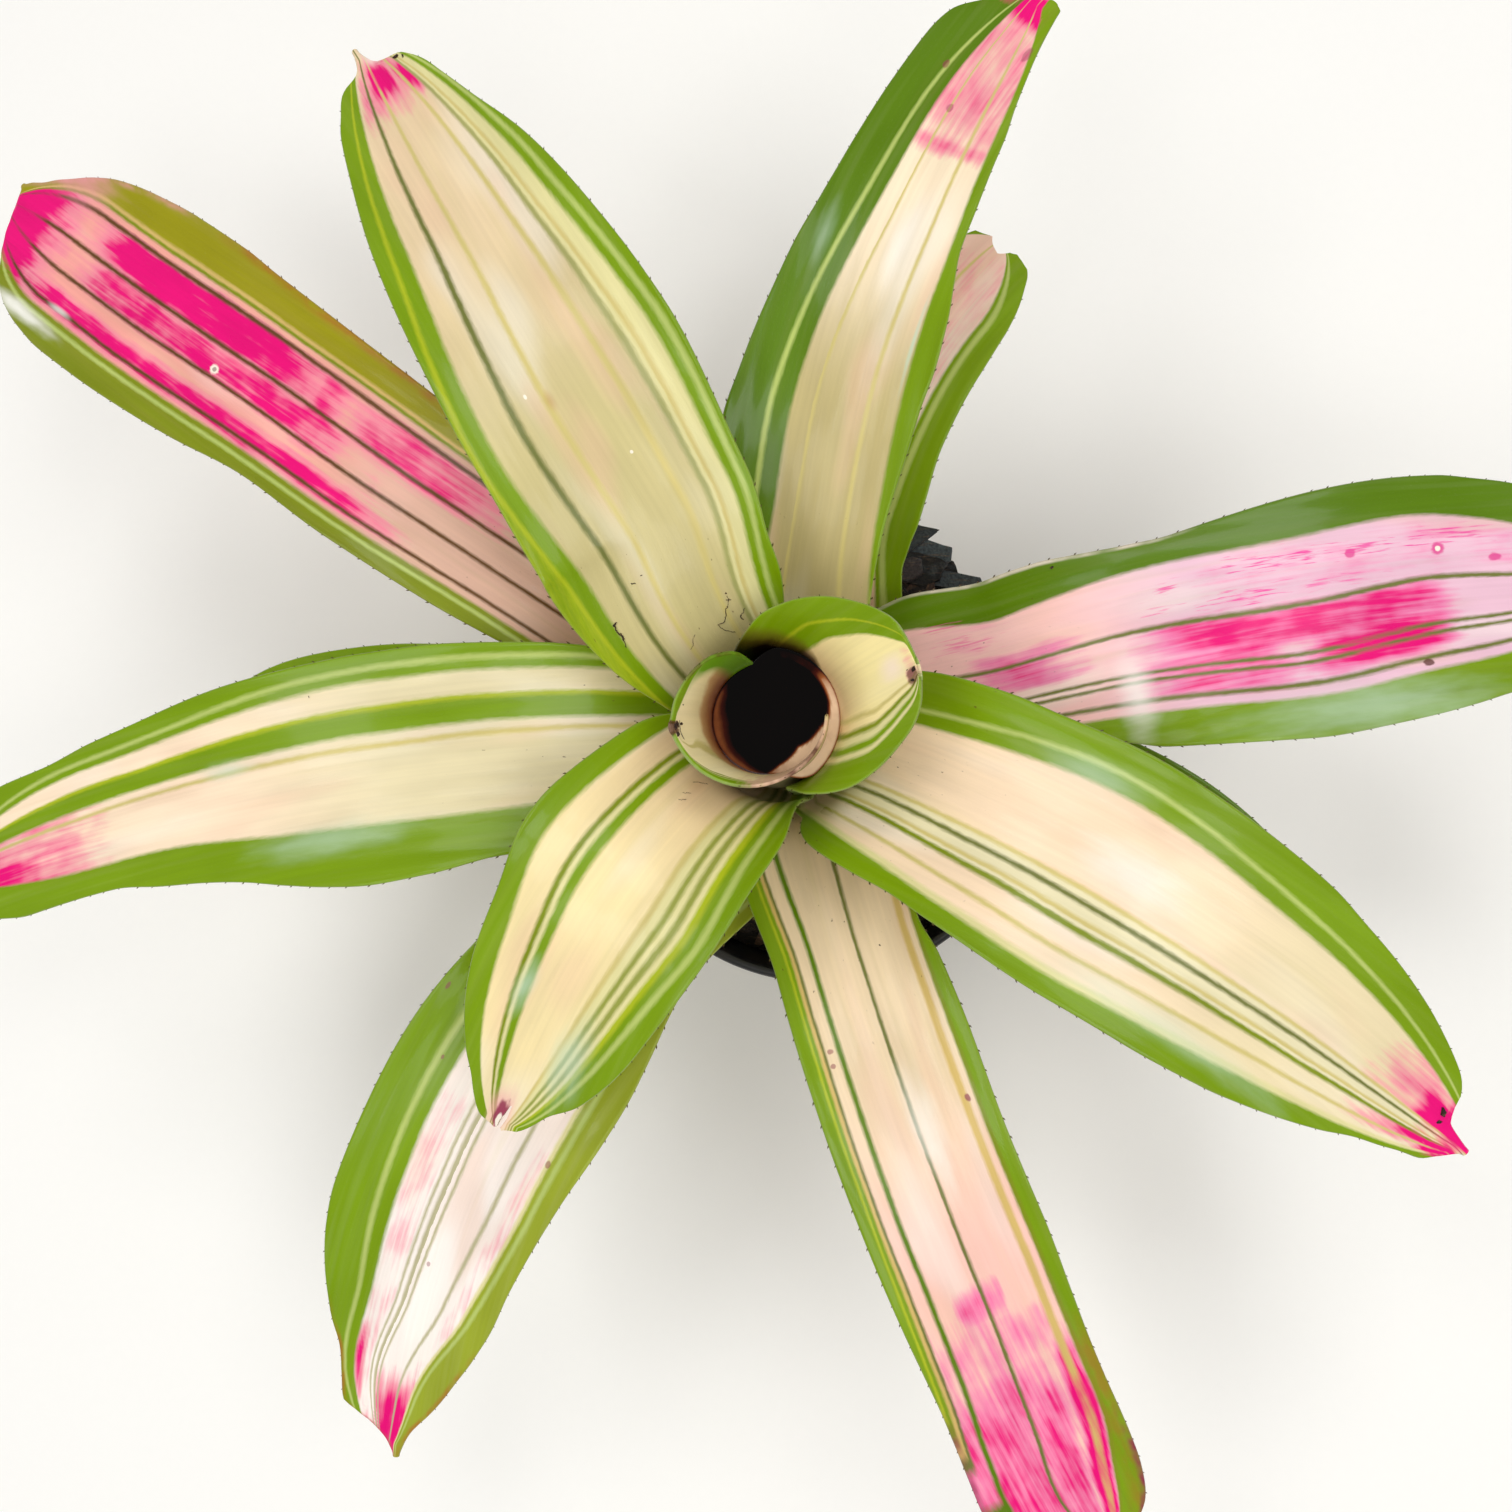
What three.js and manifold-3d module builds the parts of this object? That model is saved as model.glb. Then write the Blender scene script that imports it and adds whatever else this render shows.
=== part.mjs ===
// Neoregelia bromeliad: a rosette of striped strap leaves around a water-filled cup,
// standing in a thin plastic nursery pot of bark mix.
// Millimetres, +Z up, origin at the centre of the pot's foot.

import * as THREE from 'three';
import { mergeVertices } from 'three/addons/utils/BufferGeometryUtils.js';
import Module from 'manifold-3d';

const wasm = await Module();
wasm.setup();

// ---- driving dimensions ----

const gap = 0.3; // clearance kept between pieces that touch

// pot
const potHeight = 90;
const potRimRadius = 53.5; // outside of the rolled rim
const potFootRadius = 37.5; // outside of the foot
const potWall = 1.2;
const rimDepth = 8; // height of the band under the rim
const rimStep = 1.4; // how far the band stands out from the wall
const footCorner = 3; // slope between the foot and the wall
const slotCount = 8; // drain slots round the foot
const slotWidth = 9;
const slotHeight = 6;
const rimBevel = 0.8; // worn corner of the rim
const potSides = 48;

// bark mix
const mixLevel = 78;
const mixEdgeDrop = 1.5; // the bed falls off this much at the wall
const mixEdgeWidth = 4;
const chipCount = 34;
const chipSize = 6.2; // half the length of a typical chip
const chipTilt = 1.1; // spread of the chips' tilt, in radians
const chipClearRadius = 37; // chips stay outside the leaf bases
const chipEdgeClear = 5; // and this far off the pot's wall
const sunflowerTurn = 137.5; // turn from one chip to the next, in degrees
const heapTurn = 60; // direction where the bark is heaped over the rim, in degrees
const heapSpread = 3.4; // turn from one heaped chip to the next
const heapRadius = [54, 45]; // outer and inner chips in turn
const heapLevel = [89, 82];
const heapChips = 8;
const heapScale = 1.25;
const heapRoom = 20; // room for the heap above the rim and beyond it

// stem
const stemFoot = 58; // depth that the stem reaches down into the mix
const stemTop = 114;
const stemFootRadius = 7.6;
const stemTopRadius = 5.2;
const stemSides = 16;
const rosetteX = -4.7; // the plant stands a little off the middle of its pot
const rosetteY = 4.3;

// leaves
const firstAttach = 112; // height where the innermost leaf leaves the stem
const attachPitch = 2.25; // each older leaf leaves the stem this much lower
const cupRadius = 12; // middle of the innermost sheath
const sheathStep = [0, 2, 3.6]; // extra sheath radius of the first leaves
const sheathPitch = 0.98; // extra sheath radius of each older leaf after them
const sheathRise = 14; // height over which a sheath swells to its radius
const heel = [0.72, 0.2]; // shares of that radius and height where the leaf turns up beside the stem
const openingLength = 32; // radius over which a sheath opens out into its blade
const leafThickness = 1.2; // along the middle of a leaf
const edgeThickness = 0.7; // at its margins
const rowSpacing = 8.5; // length of one facet along a leaf
const pointWidth = 1.2; // small stiff point at the end of a leaf
const tipRounding = 0.6; // power of the rounded end of a blade, and of the lip of a cup leaf
const cupRounding = 0.5;
const sweepPower = 1.5; // a blade turns mostly in its outer part
const waveTurns = 21; // ripples along a margin, in radians over the whole leaf
const waveShift = 1.9; // shift of the ripples from one leaf to the next
const waveSkew = 1.3; // shift of the ripples from one margin to the other
const toothLength = 1.1; // margin spines
const waterLevel = 152;
const waterDepth = 24;

// One entry for each leaf, innermost first. Angles in degrees, sizes in millimetres.
// base     direction that the sheath faces, azimuth  the same for the blade
// sweep    turn of the midrib from there to the tip, wrap  half the angle that the sheath clasps
// shoulder radius and height where the sheath opens, crown  the same at the top of the arch
// tip      the same at the tip
// width    greatest width of the blade, neck  share of it just past the sheath
// broad    share of the blade where it is widest, taper  share of the leaf where the tip starts
// channel  half angle of the blade's fold, wave  height of the ripples along the margins
// outline  share of the length, right edge and left edge there, as shares of the half width;
//          a leaf with no outline has even edges and a rounded end
// The two cup leaves have no blade: they stay rolled and flare to a lip.
const leafTable = [
  { cup: true, base: 196, wrap: 140, shoulder: [12.3, 153], crown: [13.6, 165], tip: [16.9, 174],
    taper: 0.62, columns: 14,
    outline: [[0.7, -0.66, 1.22], [0.74, -0.66, 1.22], [0.79, -0.66, 1.08], [0.83, -0.65, 0.99],
      [0.86, -0.62, 0.91], [0.895, -0.55, 0.78], [0.925, -0.41, 0.66], [0.95, -0.28, 0.52],
      [0.965, -0.21, 0.4], [0.976, -0.14, 0.31], [0.986, -0.09, 0.16], [1, -0.06, 0.02]] },
  { cup: true, base: 22, wrap: 101, shoulder: [14.8, 149], crown: [20.5, 161], tip: [32.3, 171],
    taper: 0.7, columns: 12,
    outline: [[0.6, -1, 1.05], [0.64, -1.02, 1.05], [0.72, -1.06, 1.02], [0.77, -1.06, 1],
      [0.83, -1.03, 0.885], [0.88, -0.91, 0.74], [0.93, -0.74, 0.53], [0.97, -0.6, 0.34],
      [0.99, -0.46, 0.2], [1, -0.3, -0.12]] },
  { base: 229, azimuth: 231, sweep: 5, wrap: 64, shoulder: [20, 148], crown: [46, 164], tip: [102.5, 147],
    width: 46, neck: 0.88, broad: 0.4, taper: 0.52, channel: 30, wave: 0.6, columns: 6,
    outline: [[0.3, -1.05, 1.05], [0.4, -1.2, 1.18], [0.5, -1.15, 1.08], [0.56, -1.06, 1],
      [0.64, -0.93, 0.97], [0.74, -0.85, 0.9], [0.8, -0.77, 0.82], [0.85, -0.68, 0.72], [0.9, -0.56, 0.58],
      [0.94, -0.42, 0.38], [0.97, -0.32, 0.27], [0.99, -0.23, 0.17], [1, -0.1, 0.06]] },
  { base: 128, azimuth: 120, sweep: 1, wrap: 58, shoulder: [25, 143], crown: [84, 164], tip: [184, 143],
    width: 51, neck: 0.84, broad: 0.4, taper: 0.48, channel: 26, wave: 0.8, columns: 6,
    outline: [[0.18, -1, 1], [0.25, -1.13, 1.16], [0.3, -1.06, 1.22], [0.35, -1.05, 1.16],
      [0.45, -1.04, 1.03], [0.55, -1, 0.97], [0.65, -0.92, 0.91], [0.75, -0.79, 0.83], [0.85, -0.58, 0.68],
      [0.9, -0.47, 0.58], [0.93, -0.4, 0.48], [0.95, -0.31, 0.4], [0.96, -0.24, 0.32], [0.966, -0.06, 0.2],
      [0.98, 0.02, 0.13], [1, 0.06, 0.1]] },
  { base: 336, azimuth: 336, sweep: -8, wrap: 58, shoulder: [25, 136], crown: [72, 156], tip: [166, 134],
    width: 49, neck: 0.84, broad: 0.4, taper: 0.5, channel: 24, wave: 0.8, columns: 6,
    outline: [[0.14, -1, 1], [0.22, -1.25, 1.25], [0.27, -1.2, 1.27], [0.32, -1.13, 1.22],
      [0.4, -1.11, 1.11], [0.5, -1.1, 1.03], [0.6, -1.09, 0.97], [0.7, -1.02, 0.9], [0.75, -0.95, 0.82],
      [0.8, -0.85, 0.74], [0.85, -0.71, 0.64], [0.89, -0.56, 0.54], [0.92, -0.47, 0.45],
      [0.94, -0.4, 0.37], [0.95, -0.37, 0.29], [0.957, -0.35, 0.15], [0.965, -0.32, 0.05],
      [0.98, -0.2, 0.02], [1, -0.05, 0]] },
  { base: 185, azimuth: 184.5, sweep: 5, wrap: 60, shoulder: [26, 128], crown: [82, 146], tip: [208, 122],
    width: 47, neck: 0.94, broad: 0.3, taper: 0.58, channel: 22, wave: 1.2, columns: 6,
    outline: [[0.2, -1, 1], [0.33, -1.03, 1], [0.4, -1.05, 1.08], [0.45, -1.05, 1.11], [0.5, -1.03, 1.06],
      [0.55, -1, 0.97], [0.6, -0.97, 0.86], [0.65, -0.93, 0.78], [0.7, -0.88, 0.72], [0.76, -0.82, 0.63],
      [0.82, -0.73, 0.62], [0.88, -0.7, 0.62], [0.92, -0.64, 0.56], [0.95, -0.52, 0.46],
      [0.98, -0.3, 0.28], [1, -0.08, 0.08]] },
  { base: 84, azimuth: 82.3, sweep: -12, wrap: 60, shoulder: [27, 124], crown: [84, 146], tip: [175, 134],
    width: 35, neck: 0.98, broad: 0.4, taper: 0.52, channel: 24, wave: 1, columns: 6,
    outline: [[0.2, -0.9, 1], [0.3, -1, 1.15], [0.4, -1.13, 1.24], [0.45, -1.17, 1.17], [0.5, -1.23, 1.1],
      [0.55, -1.2, 1.02], [0.6, -1.1, 0.95], [0.65, -1, 0.87], [0.7, -0.97, 0.83], [0.75, -0.92, 0.82],
      [0.8, -0.85, 0.82], [0.85, -0.72, 0.81], [0.89, -0.62, 0.79], [0.92, -0.54, 0.73],
      [0.95, -0.47, 0.52], [0.97, -0.43, 0.32], [0.985, -0.4, 0.12], [0.995, -0.38, -0.05],
      [1, -0.3, -0.2]] },
  { base: 287.5, azimuth: 287.5, sweep: 4, wrap: 60, shoulder: [28, 117], crown: [84, 137], tip: [193, 108],
    width: 34.5, neck: 1, broad: 0.4, taper: 0.8, channel: 22, wave: 0.8, columns: 6,
    outline: [[0.2, -1, 1], [0.27, -1, 0.95], [0.32, -1, 1.06], [0.4, -1, 1.11], [0.5, -1.02, 1.09],
      [0.6, -1.04, 1.1], [0.7, -1.04, 1.04], [0.75, -1.05, 1], [0.8, -1.09, 0.97], [0.85, -1.15, 0.95],
      [0.9, -1.2, 0.9], [0.93, -1.18, 0.83], [0.96, -1.08, 0.7], [0.985, -0.8, 0.4], [1, -0.45, 0.05]] },
  { base: 146, azimuth: 147, sweep: -2, wrap: 60, shoulder: [29, 112], crown: [96, 134], tip: [246.5, 110],
    width: 43, neck: 0.8, broad: 0.75, taper: 0.88, channel: 20, wave: 0.8, columns: 6,
    outline: [[0.2, -1, 0.95], [0.35, -1.08, 1.05], [0.45, -1.13, 1.03], [0.56, -1.15, 0.94],
      [0.65, -1.17, 1.03], [0.7, -1.2, 1.07], [0.78, -1.19, 1.11], [0.84, -1.12, 1.12], [0.89, -1, 1.06],
      [0.92, -0.87, 0.97], [0.945, -0.72, 0.8], [0.965, -0.58, 0.55], [0.98, -0.45, 0.28],
      [0.99, -0.38, 0], [1, -0.3, -0.24]] },
  { base: 17, azimuth: 14, sweep: -4, wrap: 60, shoulder: [30, 108], crown: [92, 128], tip: [186, 112],
    width: 53, neck: 0.62, broad: 0.75, taper: 0.74, channel: 20, wave: 1, columns: 6,
    outline: [[0.14, -1, 1], [0.22, -1.05, 1.28], [0.28, -1.05, 1.34], [0.35, -1.07, 1.27],
      [0.4, -1.1, 1.16], [0.45, -1.19, 1.06], [0.5, -1.2, 1], [0.6, -1.16, 1], [0.7, -1.05, 0.99],
      [0.8, -0.94, 0.98], [0.85, -0.87, 0.93], [0.89, -0.82, 0.87], [0.93, -0.72, 0.76],
      [0.96, -0.55, 0.6], [0.985, -0.3, 0.34], [1, -0.1, 0.1]] },
  { base: 227, azimuth: 226.5, sweep: 13.5, wrap: 60, shoulder: [31, 104], crown: [88, 122], tip: [196, 99],
    width: 51, neck: 0.84, broad: 0.5, taper: 0.55, channel: 22, wave: 1, columns: 6,
    outline: [[0.3, -0.95, 1], [0.4, -0.93, 1.11], [0.45, -0.95, 1.14], [0.5, -0.97, 1.12],
      [0.6, -0.99, 1.03], [0.7, -0.98, 0.92], [0.75, -0.94, 0.86], [0.8, -0.86, 0.81], [0.85, -0.73, 0.7],
      [0.89, -0.57, 0.57], [0.92, -0.51, 0.46], [0.945, -0.46, 0.34], [0.955, -0.32, 0.28],
      [0.97, -0.11, 0.2], [0.985, 0.01, 0.15], [1, 0.07, 0.12]] },
  { base: 350, azimuth: 350, sweep: -19, wrap: 60, shoulder: [32, 100], crown: [78, 116], tip: [140, 104],
    width: 37, neck: 0.9, broad: 0.4, taper: 0.6, channel: 20, wave: 0.8, columns: 6 },
  { base: 176, azimuth: 176, sweep: 1, wrap: 60, shoulder: [33, 97], crown: [80, 112], tip: [150, 98],
    width: 36, neck: 0.9, broad: 0.4, taper: 0.6, channel: 20, wave: 0.8, columns: 6 },
  { base: 79, azimuth: 79, sweep: -12, wrap: 60, shoulder: [34, 95], crown: [78, 112], tip: [131, 104],
    width: 36, neck: 0.9, broad: 0.4, taper: 0.84, channel: 20, wave: 0.8, columns: 6,
    outline: [[0.3, -0.9, 1], [0.36, -0.93, 1], [0.4, -1.02, 1], [0.45, -1.08, 1], [0.5, -1.06, 1],
      [0.6, -1, 1], [0.75, -0.99, 0.95], [0.85, -0.93, 0.75], [0.9, -0.86, 0.6], [0.93, -0.79, 0.5],
      [0.96, -0.69, 0.42], [0.98, -0.61, 0.36], [0.995, -0.5, 0.28], [1, -0.43, 0.22]] },
];

// ---- finishes ----

function finish(color, roughness, metalness = 0) {
  return new THREE.MeshStandardMaterial({ color, roughness, metalness });
}

// ---- helpers ----

const radians = THREE.MathUtils.degToRad;
const { lerp, smoothstep } = THREE.MathUtils;
const zAxis = new THREE.Vector3(0, 0, 1);

// The same surface with one vertex at each corner.
function withSharedCorners(geometry) {
  const bare = geometry.clone();
  bare.deleteAttribute('normal');
  bare.deleteAttribute('uv');
  return mergeVertices(bare, 1e-4);
}

function toSolid(geometry) {
  const merged = withSharedCorners(geometry);
  return new wasm.Manifold(new wasm.Mesh({
    numProp: 3,
    vertProperties: new Float32Array(merged.attributes.position.array),
    triVerts: new Uint32Array(merged.index.array),
  }));
}

function fromSolid(solid) {
  const { vertProperties, triVerts } = solid.getMesh();
  return indexedGeometry(vertProperties, triVerts);
}

function indexedGeometry(positions, triangles) {
  const geometry = new THREE.BufferGeometry();
  geometry.setAttribute('position', new THREE.Float32BufferAttribute(positions, 3));
  geometry.setIndex(Array.from(triangles));
  return geometry;
}

// A solid of revolution about Z from [radius, height] points that start and end on the axis.
function lathe(profile, sides) {
  const points = profile.map(([radius, height]) => new THREE.Vector2(radius, height));
  return new THREE.LatheGeometry(points, sides).rotateX(Math.PI / 2);
}

// The same row of numbers on every run, for placing bark chips.
function seededRandom(seed) {
  let state = seed;
  return () => {
    state = (state * 1664525 + 1013904223) % 4294967296;
    return state / 4294967296;
  };
}

// ---- pot ----

function potOuterRadius(height) {
  return lerp(potFootRadius, potRimRadius - rimStep, height / potHeight);
}

function potInnerRadius(height) {
  return potOuterRadius(height) - potWall;
}

function makePot() {
  const bandFoot = potHeight - rimDepth;
  const outer = [
    [potFootRadius - footCorner, 0],
    [potOuterRadius(footCorner), footCorner],
    [potOuterRadius(bandFoot), bandFoot],
    [potRimRadius, bandFoot + rimStep],
    [potRimRadius, potHeight - rimBevel],
    [potRimRadius - rimBevel, potHeight],
  ];
  const inner = [
    [potInnerRadius(potHeight) + rimBevel / 2, potHeight],
    [potInnerRadius(potHeight - 2 * rimBevel), potHeight - 2 * rimBevel],
    [potInnerRadius(footCorner + potWall), footCorner + potWall],
    [potFootRadius - footCorner - potWall, potWall],
  ];
  const shell = toSolid(lathe([[0, 0], ...outer, ...inner, [0, potWall]], potSides));
  const slots = [];
  for (let i = 0; i < slotCount; i += 1) {
    const slot = new THREE.BoxGeometry(4 * footCorner, slotWidth, slotHeight);
    slot.translate(potFootRadius, 0, slotHeight / 2 - gap);
    slot.rotateZ((2 * Math.PI * (i + 0.5)) / slotCount);
    slots.push(toSolid(slot));
  }
  return fromSolid(shell.subtract(wasm.Manifold.union(slots)));
}

// ---- bark mix ----

// A bark chip: a flat angular block with worn, uneven corners.
function barkChip(random) {
  const length = chipSize * (0.8 + 0.7 * random());
  const box = new THREE.BoxGeometry(2 * length, 1.3 * length, 0.8 * length);
  const block = withSharedCorners(box);
  const corners = block.attributes.position;
  for (let i = 0; i < corners.count; i += 1) {
    const shrink = 0.72 + 0.4 * random();
    corners.setXYZ(i, corners.getX(i) * shrink, corners.getY(i) * shrink, corners.getZ(i) * shrink);
  }
  block.rotateX((random() - 0.5) * chipTilt);
  block.rotateY((random() - 0.5) * chipTilt);
  block.rotateZ(random() * Math.PI);
  return block;
}

// Chips spread round the bed in a sunflower pattern.
function bedChips(random) {
  const chips = [];
  for (let i = 0; i < chipCount; i += 1) {
    const turn = radians(sunflowerTurn) * i;
    const reach = lerp(chipClearRadius, potInnerRadius(mixLevel) - chipEdgeClear, Math.sqrt(random()));
    const chip = barkChip(random);
    chip.translate(reach * Math.cos(turn), reach * Math.sin(turn), mixLevel + 1.5 * random());
    chips.push(toSolid(chip));
  }
  return chips;
}

// A few larger chips heaped at one side, their corners over the rim.
function heapedChips(random) {
  const chips = [];
  for (let i = 0; i < heapChips; i += 1) {
    const turn = radians(heapTurn + heapSpread * (i - (heapChips - 1) / 2));
    const reach = heapRadius[i % 2];
    const level = heapLevel[i % 2] + 2 * random();
    const chip = barkChip(random).scale(heapScale, heapScale, heapScale);
    chip.translate(reach * Math.cos(turn), reach * Math.sin(turn), level);
    chips.push(toSolid(chip));
  }
  return chips;
}

function makeMix() {
  const wallClear = potWall + gap;
  const bed = toSolid(lathe([
    [0, wallClear],
    [potFootRadius - footCorner - wallClear, wallClear],
    [potInnerRadius(footCorner + wallClear) - gap, footCorner + wallClear],
    [potInnerRadius(mixLevel) - gap, mixLevel - mixEdgeDrop],
    [potInnerRadius(mixLevel) - mixEdgeWidth, mixLevel],
    [0, mixLevel],
  ], potSides));
  const random = seededRandom(7);
  const chips = wasm.Manifold.union([...bedChips(random), ...heapedChips(random)]);
  const room = toSolid(lathe([
    [0, 0],
    [potInnerRadius(0) - gap, 0],
    [potInnerRadius(potHeight) - gap, potHeight + gap],
    [potRimRadius + heapRoom, potHeight + gap],
    [potRimRadius + heapRoom, potHeight + heapRoom],
    [0, potHeight + heapRoom],
  ], potSides));
  const stemHole = toSolid(lathe([
    [0, stemFoot - gap],
    [stemFootRadius + gap, stemFoot - gap],
    [stemFootRadius + gap, potHeight],
    [0, potHeight],
  ], stemSides).translate(rosetteX, rosetteY, 0));
  return fromSolid(bed.add(chips.intersect(room)).subtract(stemHole));
}

// ---- stem ----

function stemRadius(height) {
  return lerp(stemFootRadius, stemTopRadius, smoothstep(height, mixLevel, stemTop));
}

function makeStem() {
  const profile = [[0, stemFoot], [stemFootRadius - 1, stemFoot], [stemFootRadius, stemFoot + 1]];
  for (let height = mixLevel; height < stemTop - 1; height += 6) {
    profile.push([stemRadius(height), height]);
  }
  profile.push([stemTopRadius - 1, stemTop], [0, stemTop]);
  return lathe(profile, stemSides);
}

// ---- leaves ----

function sheathRadius(order) {
  const last = sheathStep.length - 1;
  return cupRadius + (order <= last ? sheathStep[order] : sheathStep[last] + sheathPitch * (order - last));
}

// Midrib of a leaf in its upright plane, from the stem to the tip: x is the radius, z the height.
function midribCurve(leaf, order) {
  const attach = firstAttach - attachPitch * order;
  const sheath = sheathRadius(order);
  const points = [
    [stemRadius(attach) + gap + leafThickness / 3, attach],
    [heel[0] * sheath, attach + heel[1] * sheathRise],
    [sheath, attach + sheathRise],
    leaf.shoulder,
    leaf.crown,
    leaf.tip,
  ];
  const places = points.map(([radius, height]) => new THREE.Vector3(radius, 0, height));
  return new THREE.CatmullRomCurve3(places, false, 'centripetal');
}

// Middle line of a leaf at a share of its length.
function midribPoint(leaf, order, curve, share) {
  const place = curve.getPointAt(share);
  if (leaf.cup) {
    return new THREE.Vector3(place.x, 0, place.z).applyAxisAngle(zAxis, radians(leaf.base));
  }
  const sheath = sheathRadius(order);
  const out = Math.max(0, (place.x - sheath) / (leaf.tip[0] - sheath));
  const turn = lerp(leaf.base, leaf.azimuth, smoothstep(place.x, sheath, sheath + openingLength));
  const bearing = radians(turn + leaf.sweep * Math.pow(out, sweepPower));
  return new THREE.Vector3(place.x, 0, place.z).applyAxisAngle(zAxis, bearing);
}

// Share of the full width that is left at a share of the length: a rounded end.
function endShare(leaf, share) {
  const fill = Math.max(0, (share - leaf.taper) / (1 - leaf.taper));
  return Math.pow(Math.max(0, 1 - Math.pow(fill, 2)), leaf.cup ? cupRounding : tipRounding);
}

// Smooth line through [x, value] pairs that never swings past them.
function smoothLine(pairs, x) {
  const last = pairs.length - 1;
  const rise = (i) => (pairs[i + 1][1] - pairs[i][1]) / (pairs[i + 1][0] - pairs[i][0]);
  const slope = (i) => {
    if (i === 0 || i === last || rise(i - 1) * rise(i) <= 0) {
      return 0;
    }
    return 2 / (1 / rise(i - 1) + 1 / rise(i));
  };
  if (x <= pairs[0][0]) {
    return pairs[0][1];
  }
  const i = Math.min(last, pairs.findIndex(([place]) => place >= x)) - 1;
  if (i < 0) {
    return pairs[last][1];
  }
  const span = pairs[i + 1][0] - pairs[i][0];
  const t = (x - pairs[i][0]) / span;
  const start = pairs[i][1] + t * t * (3 - 2 * t) * (pairs[i + 1][1] - pairs[i][1]);
  return start + t * (1 - t) * span * ((1 - t) * slope(i) - t * slope(i + 1));
}

// Place of a point between the margins, as a share of the half width.
function placeAcross(leaf, share, across) {
  if (!leaf.outline) {
    return across;
  }
  const right = smoothLine(leaf.outline.map(([place, edge]) => [place, edge]), share);
  const left = smoothLine(leaf.outline.map(([place, , edge]) => [place, edge]), share);
  return lerp(right, left, (across + 1) / 2);
}

// Half width and half fold angle of a leaf, and how far its sheath has opened into a blade.
function crossSection(leaf, order, curve, share) {
  const { x: radius } = curve.getPointAt(share);
  const sheath = sheathRadius(order);
  const end = leaf.outline ? 1 : endShare(leaf, share);
  const clasp = radians(leaf.wrap) * Math.min(radius, sheath);
  if (leaf.cup) {
    const halfWidth = Math.max(pointWidth / 2, clasp * end);
    return { halfWidth, fold: halfWidth / radius, open: 0 };
  }
  const open = smoothstep(radius, sheath, sheath + openingLength);
  const out = Math.max(0, (radius - sheath) / (leaf.tip[0] - sheath));
  const blade = (leaf.width / 2) * lerp(leaf.neck, 1, smoothstep(out, 0.1, leaf.broad));
  const halfWidth = Math.max(pointWidth / 2, lerp(clasp, blade, open) * end);
  const curvature = lerp(1 / radius, (radians(leaf.channel) * (1 - 0.5 * out)) / blade, open);
  return { halfWidth, fold: halfWidth * curvature, open };
}

// Point of the middle surface of a leaf: share runs along it, across runs from -1 to 1.
function leafPoint(leaf, order, curve, share, across) {
  const { halfWidth, fold, open } = crossSection(leaf, order, curve, share);
  const point = midribPoint(leaf, order, curve, share);
  const back = midribPoint(leaf, order, curve, Math.max(0, share - 0.01));
  const ahead = midribPoint(leaf, order, curve, Math.min(1, share + 0.01));
  const along = ahead.sub(back).normalize();
  const outward = point.clone().setZ(0).normalize();
  const run = along.clone().setZ(0).normalize();
  const heading = outward.clone().lerp(run, open).normalize();
  const side = zAxis.clone().cross(heading);
  const raised = along.clone().cross(side);
  const lift = heading.clone().negate().lerp(raised, open).normalize();
  const bend = halfWidth / fold;
  const place = placeAcross(leaf, share, across);
  const angle = place * fold;
  const ripple = leaf.cup ? 0 : leaf.wave * open * marginWave(order, share, place);
  return point
    .addScaledVector(side, bend * Math.sin(angle))
    .addScaledVector(lift, bend * (1 - Math.cos(angle)) + ripple);
}

function marginWave(order, share, place) {
  return place ** 2 * Math.sin(waveTurns * share + waveShift * order + waveSkew * place);
}

// Upward normal of the middle surface.
function leafNormal(leaf, order, curve, share, across) {
  const step = 0.004;
  const ahead = leafPoint(leaf, order, curve, Math.min(1, share + step), across);
  const behind = leafPoint(leaf, order, curve, Math.max(0, share - step), across);
  const left = leafPoint(leaf, order, curve, share, across + 0.05);
  const right = leafPoint(leaf, order, curve, share, across - 0.05);
  return ahead.sub(behind).cross(left.sub(right)).normalize();
}

// Shares of the length where a leaf has a row of points: even along the sheath and blade,
// closing up round the end.
function leafRows(leaf, curve) {
  const length = curve.getLength();
  const bodyRows = Math.round((leaf.taper * length) / rowSpacing);
  const endRows = Math.max(6, Math.round((1.25 * (1 - leaf.taper) * length) / rowSpacing));
  const rows = [];
  for (let i = 0; i < bodyRows; i += 1) {
    rows.push((leaf.taper * i) / bodyRows);
  }
  for (let i = 0; i <= endRows; i += 1) {
    rows.push(leaf.taper + (1 - leaf.taper) * Math.sin((Math.PI / 2) * (i / endRows)));
  }
  return rows;
}

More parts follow.
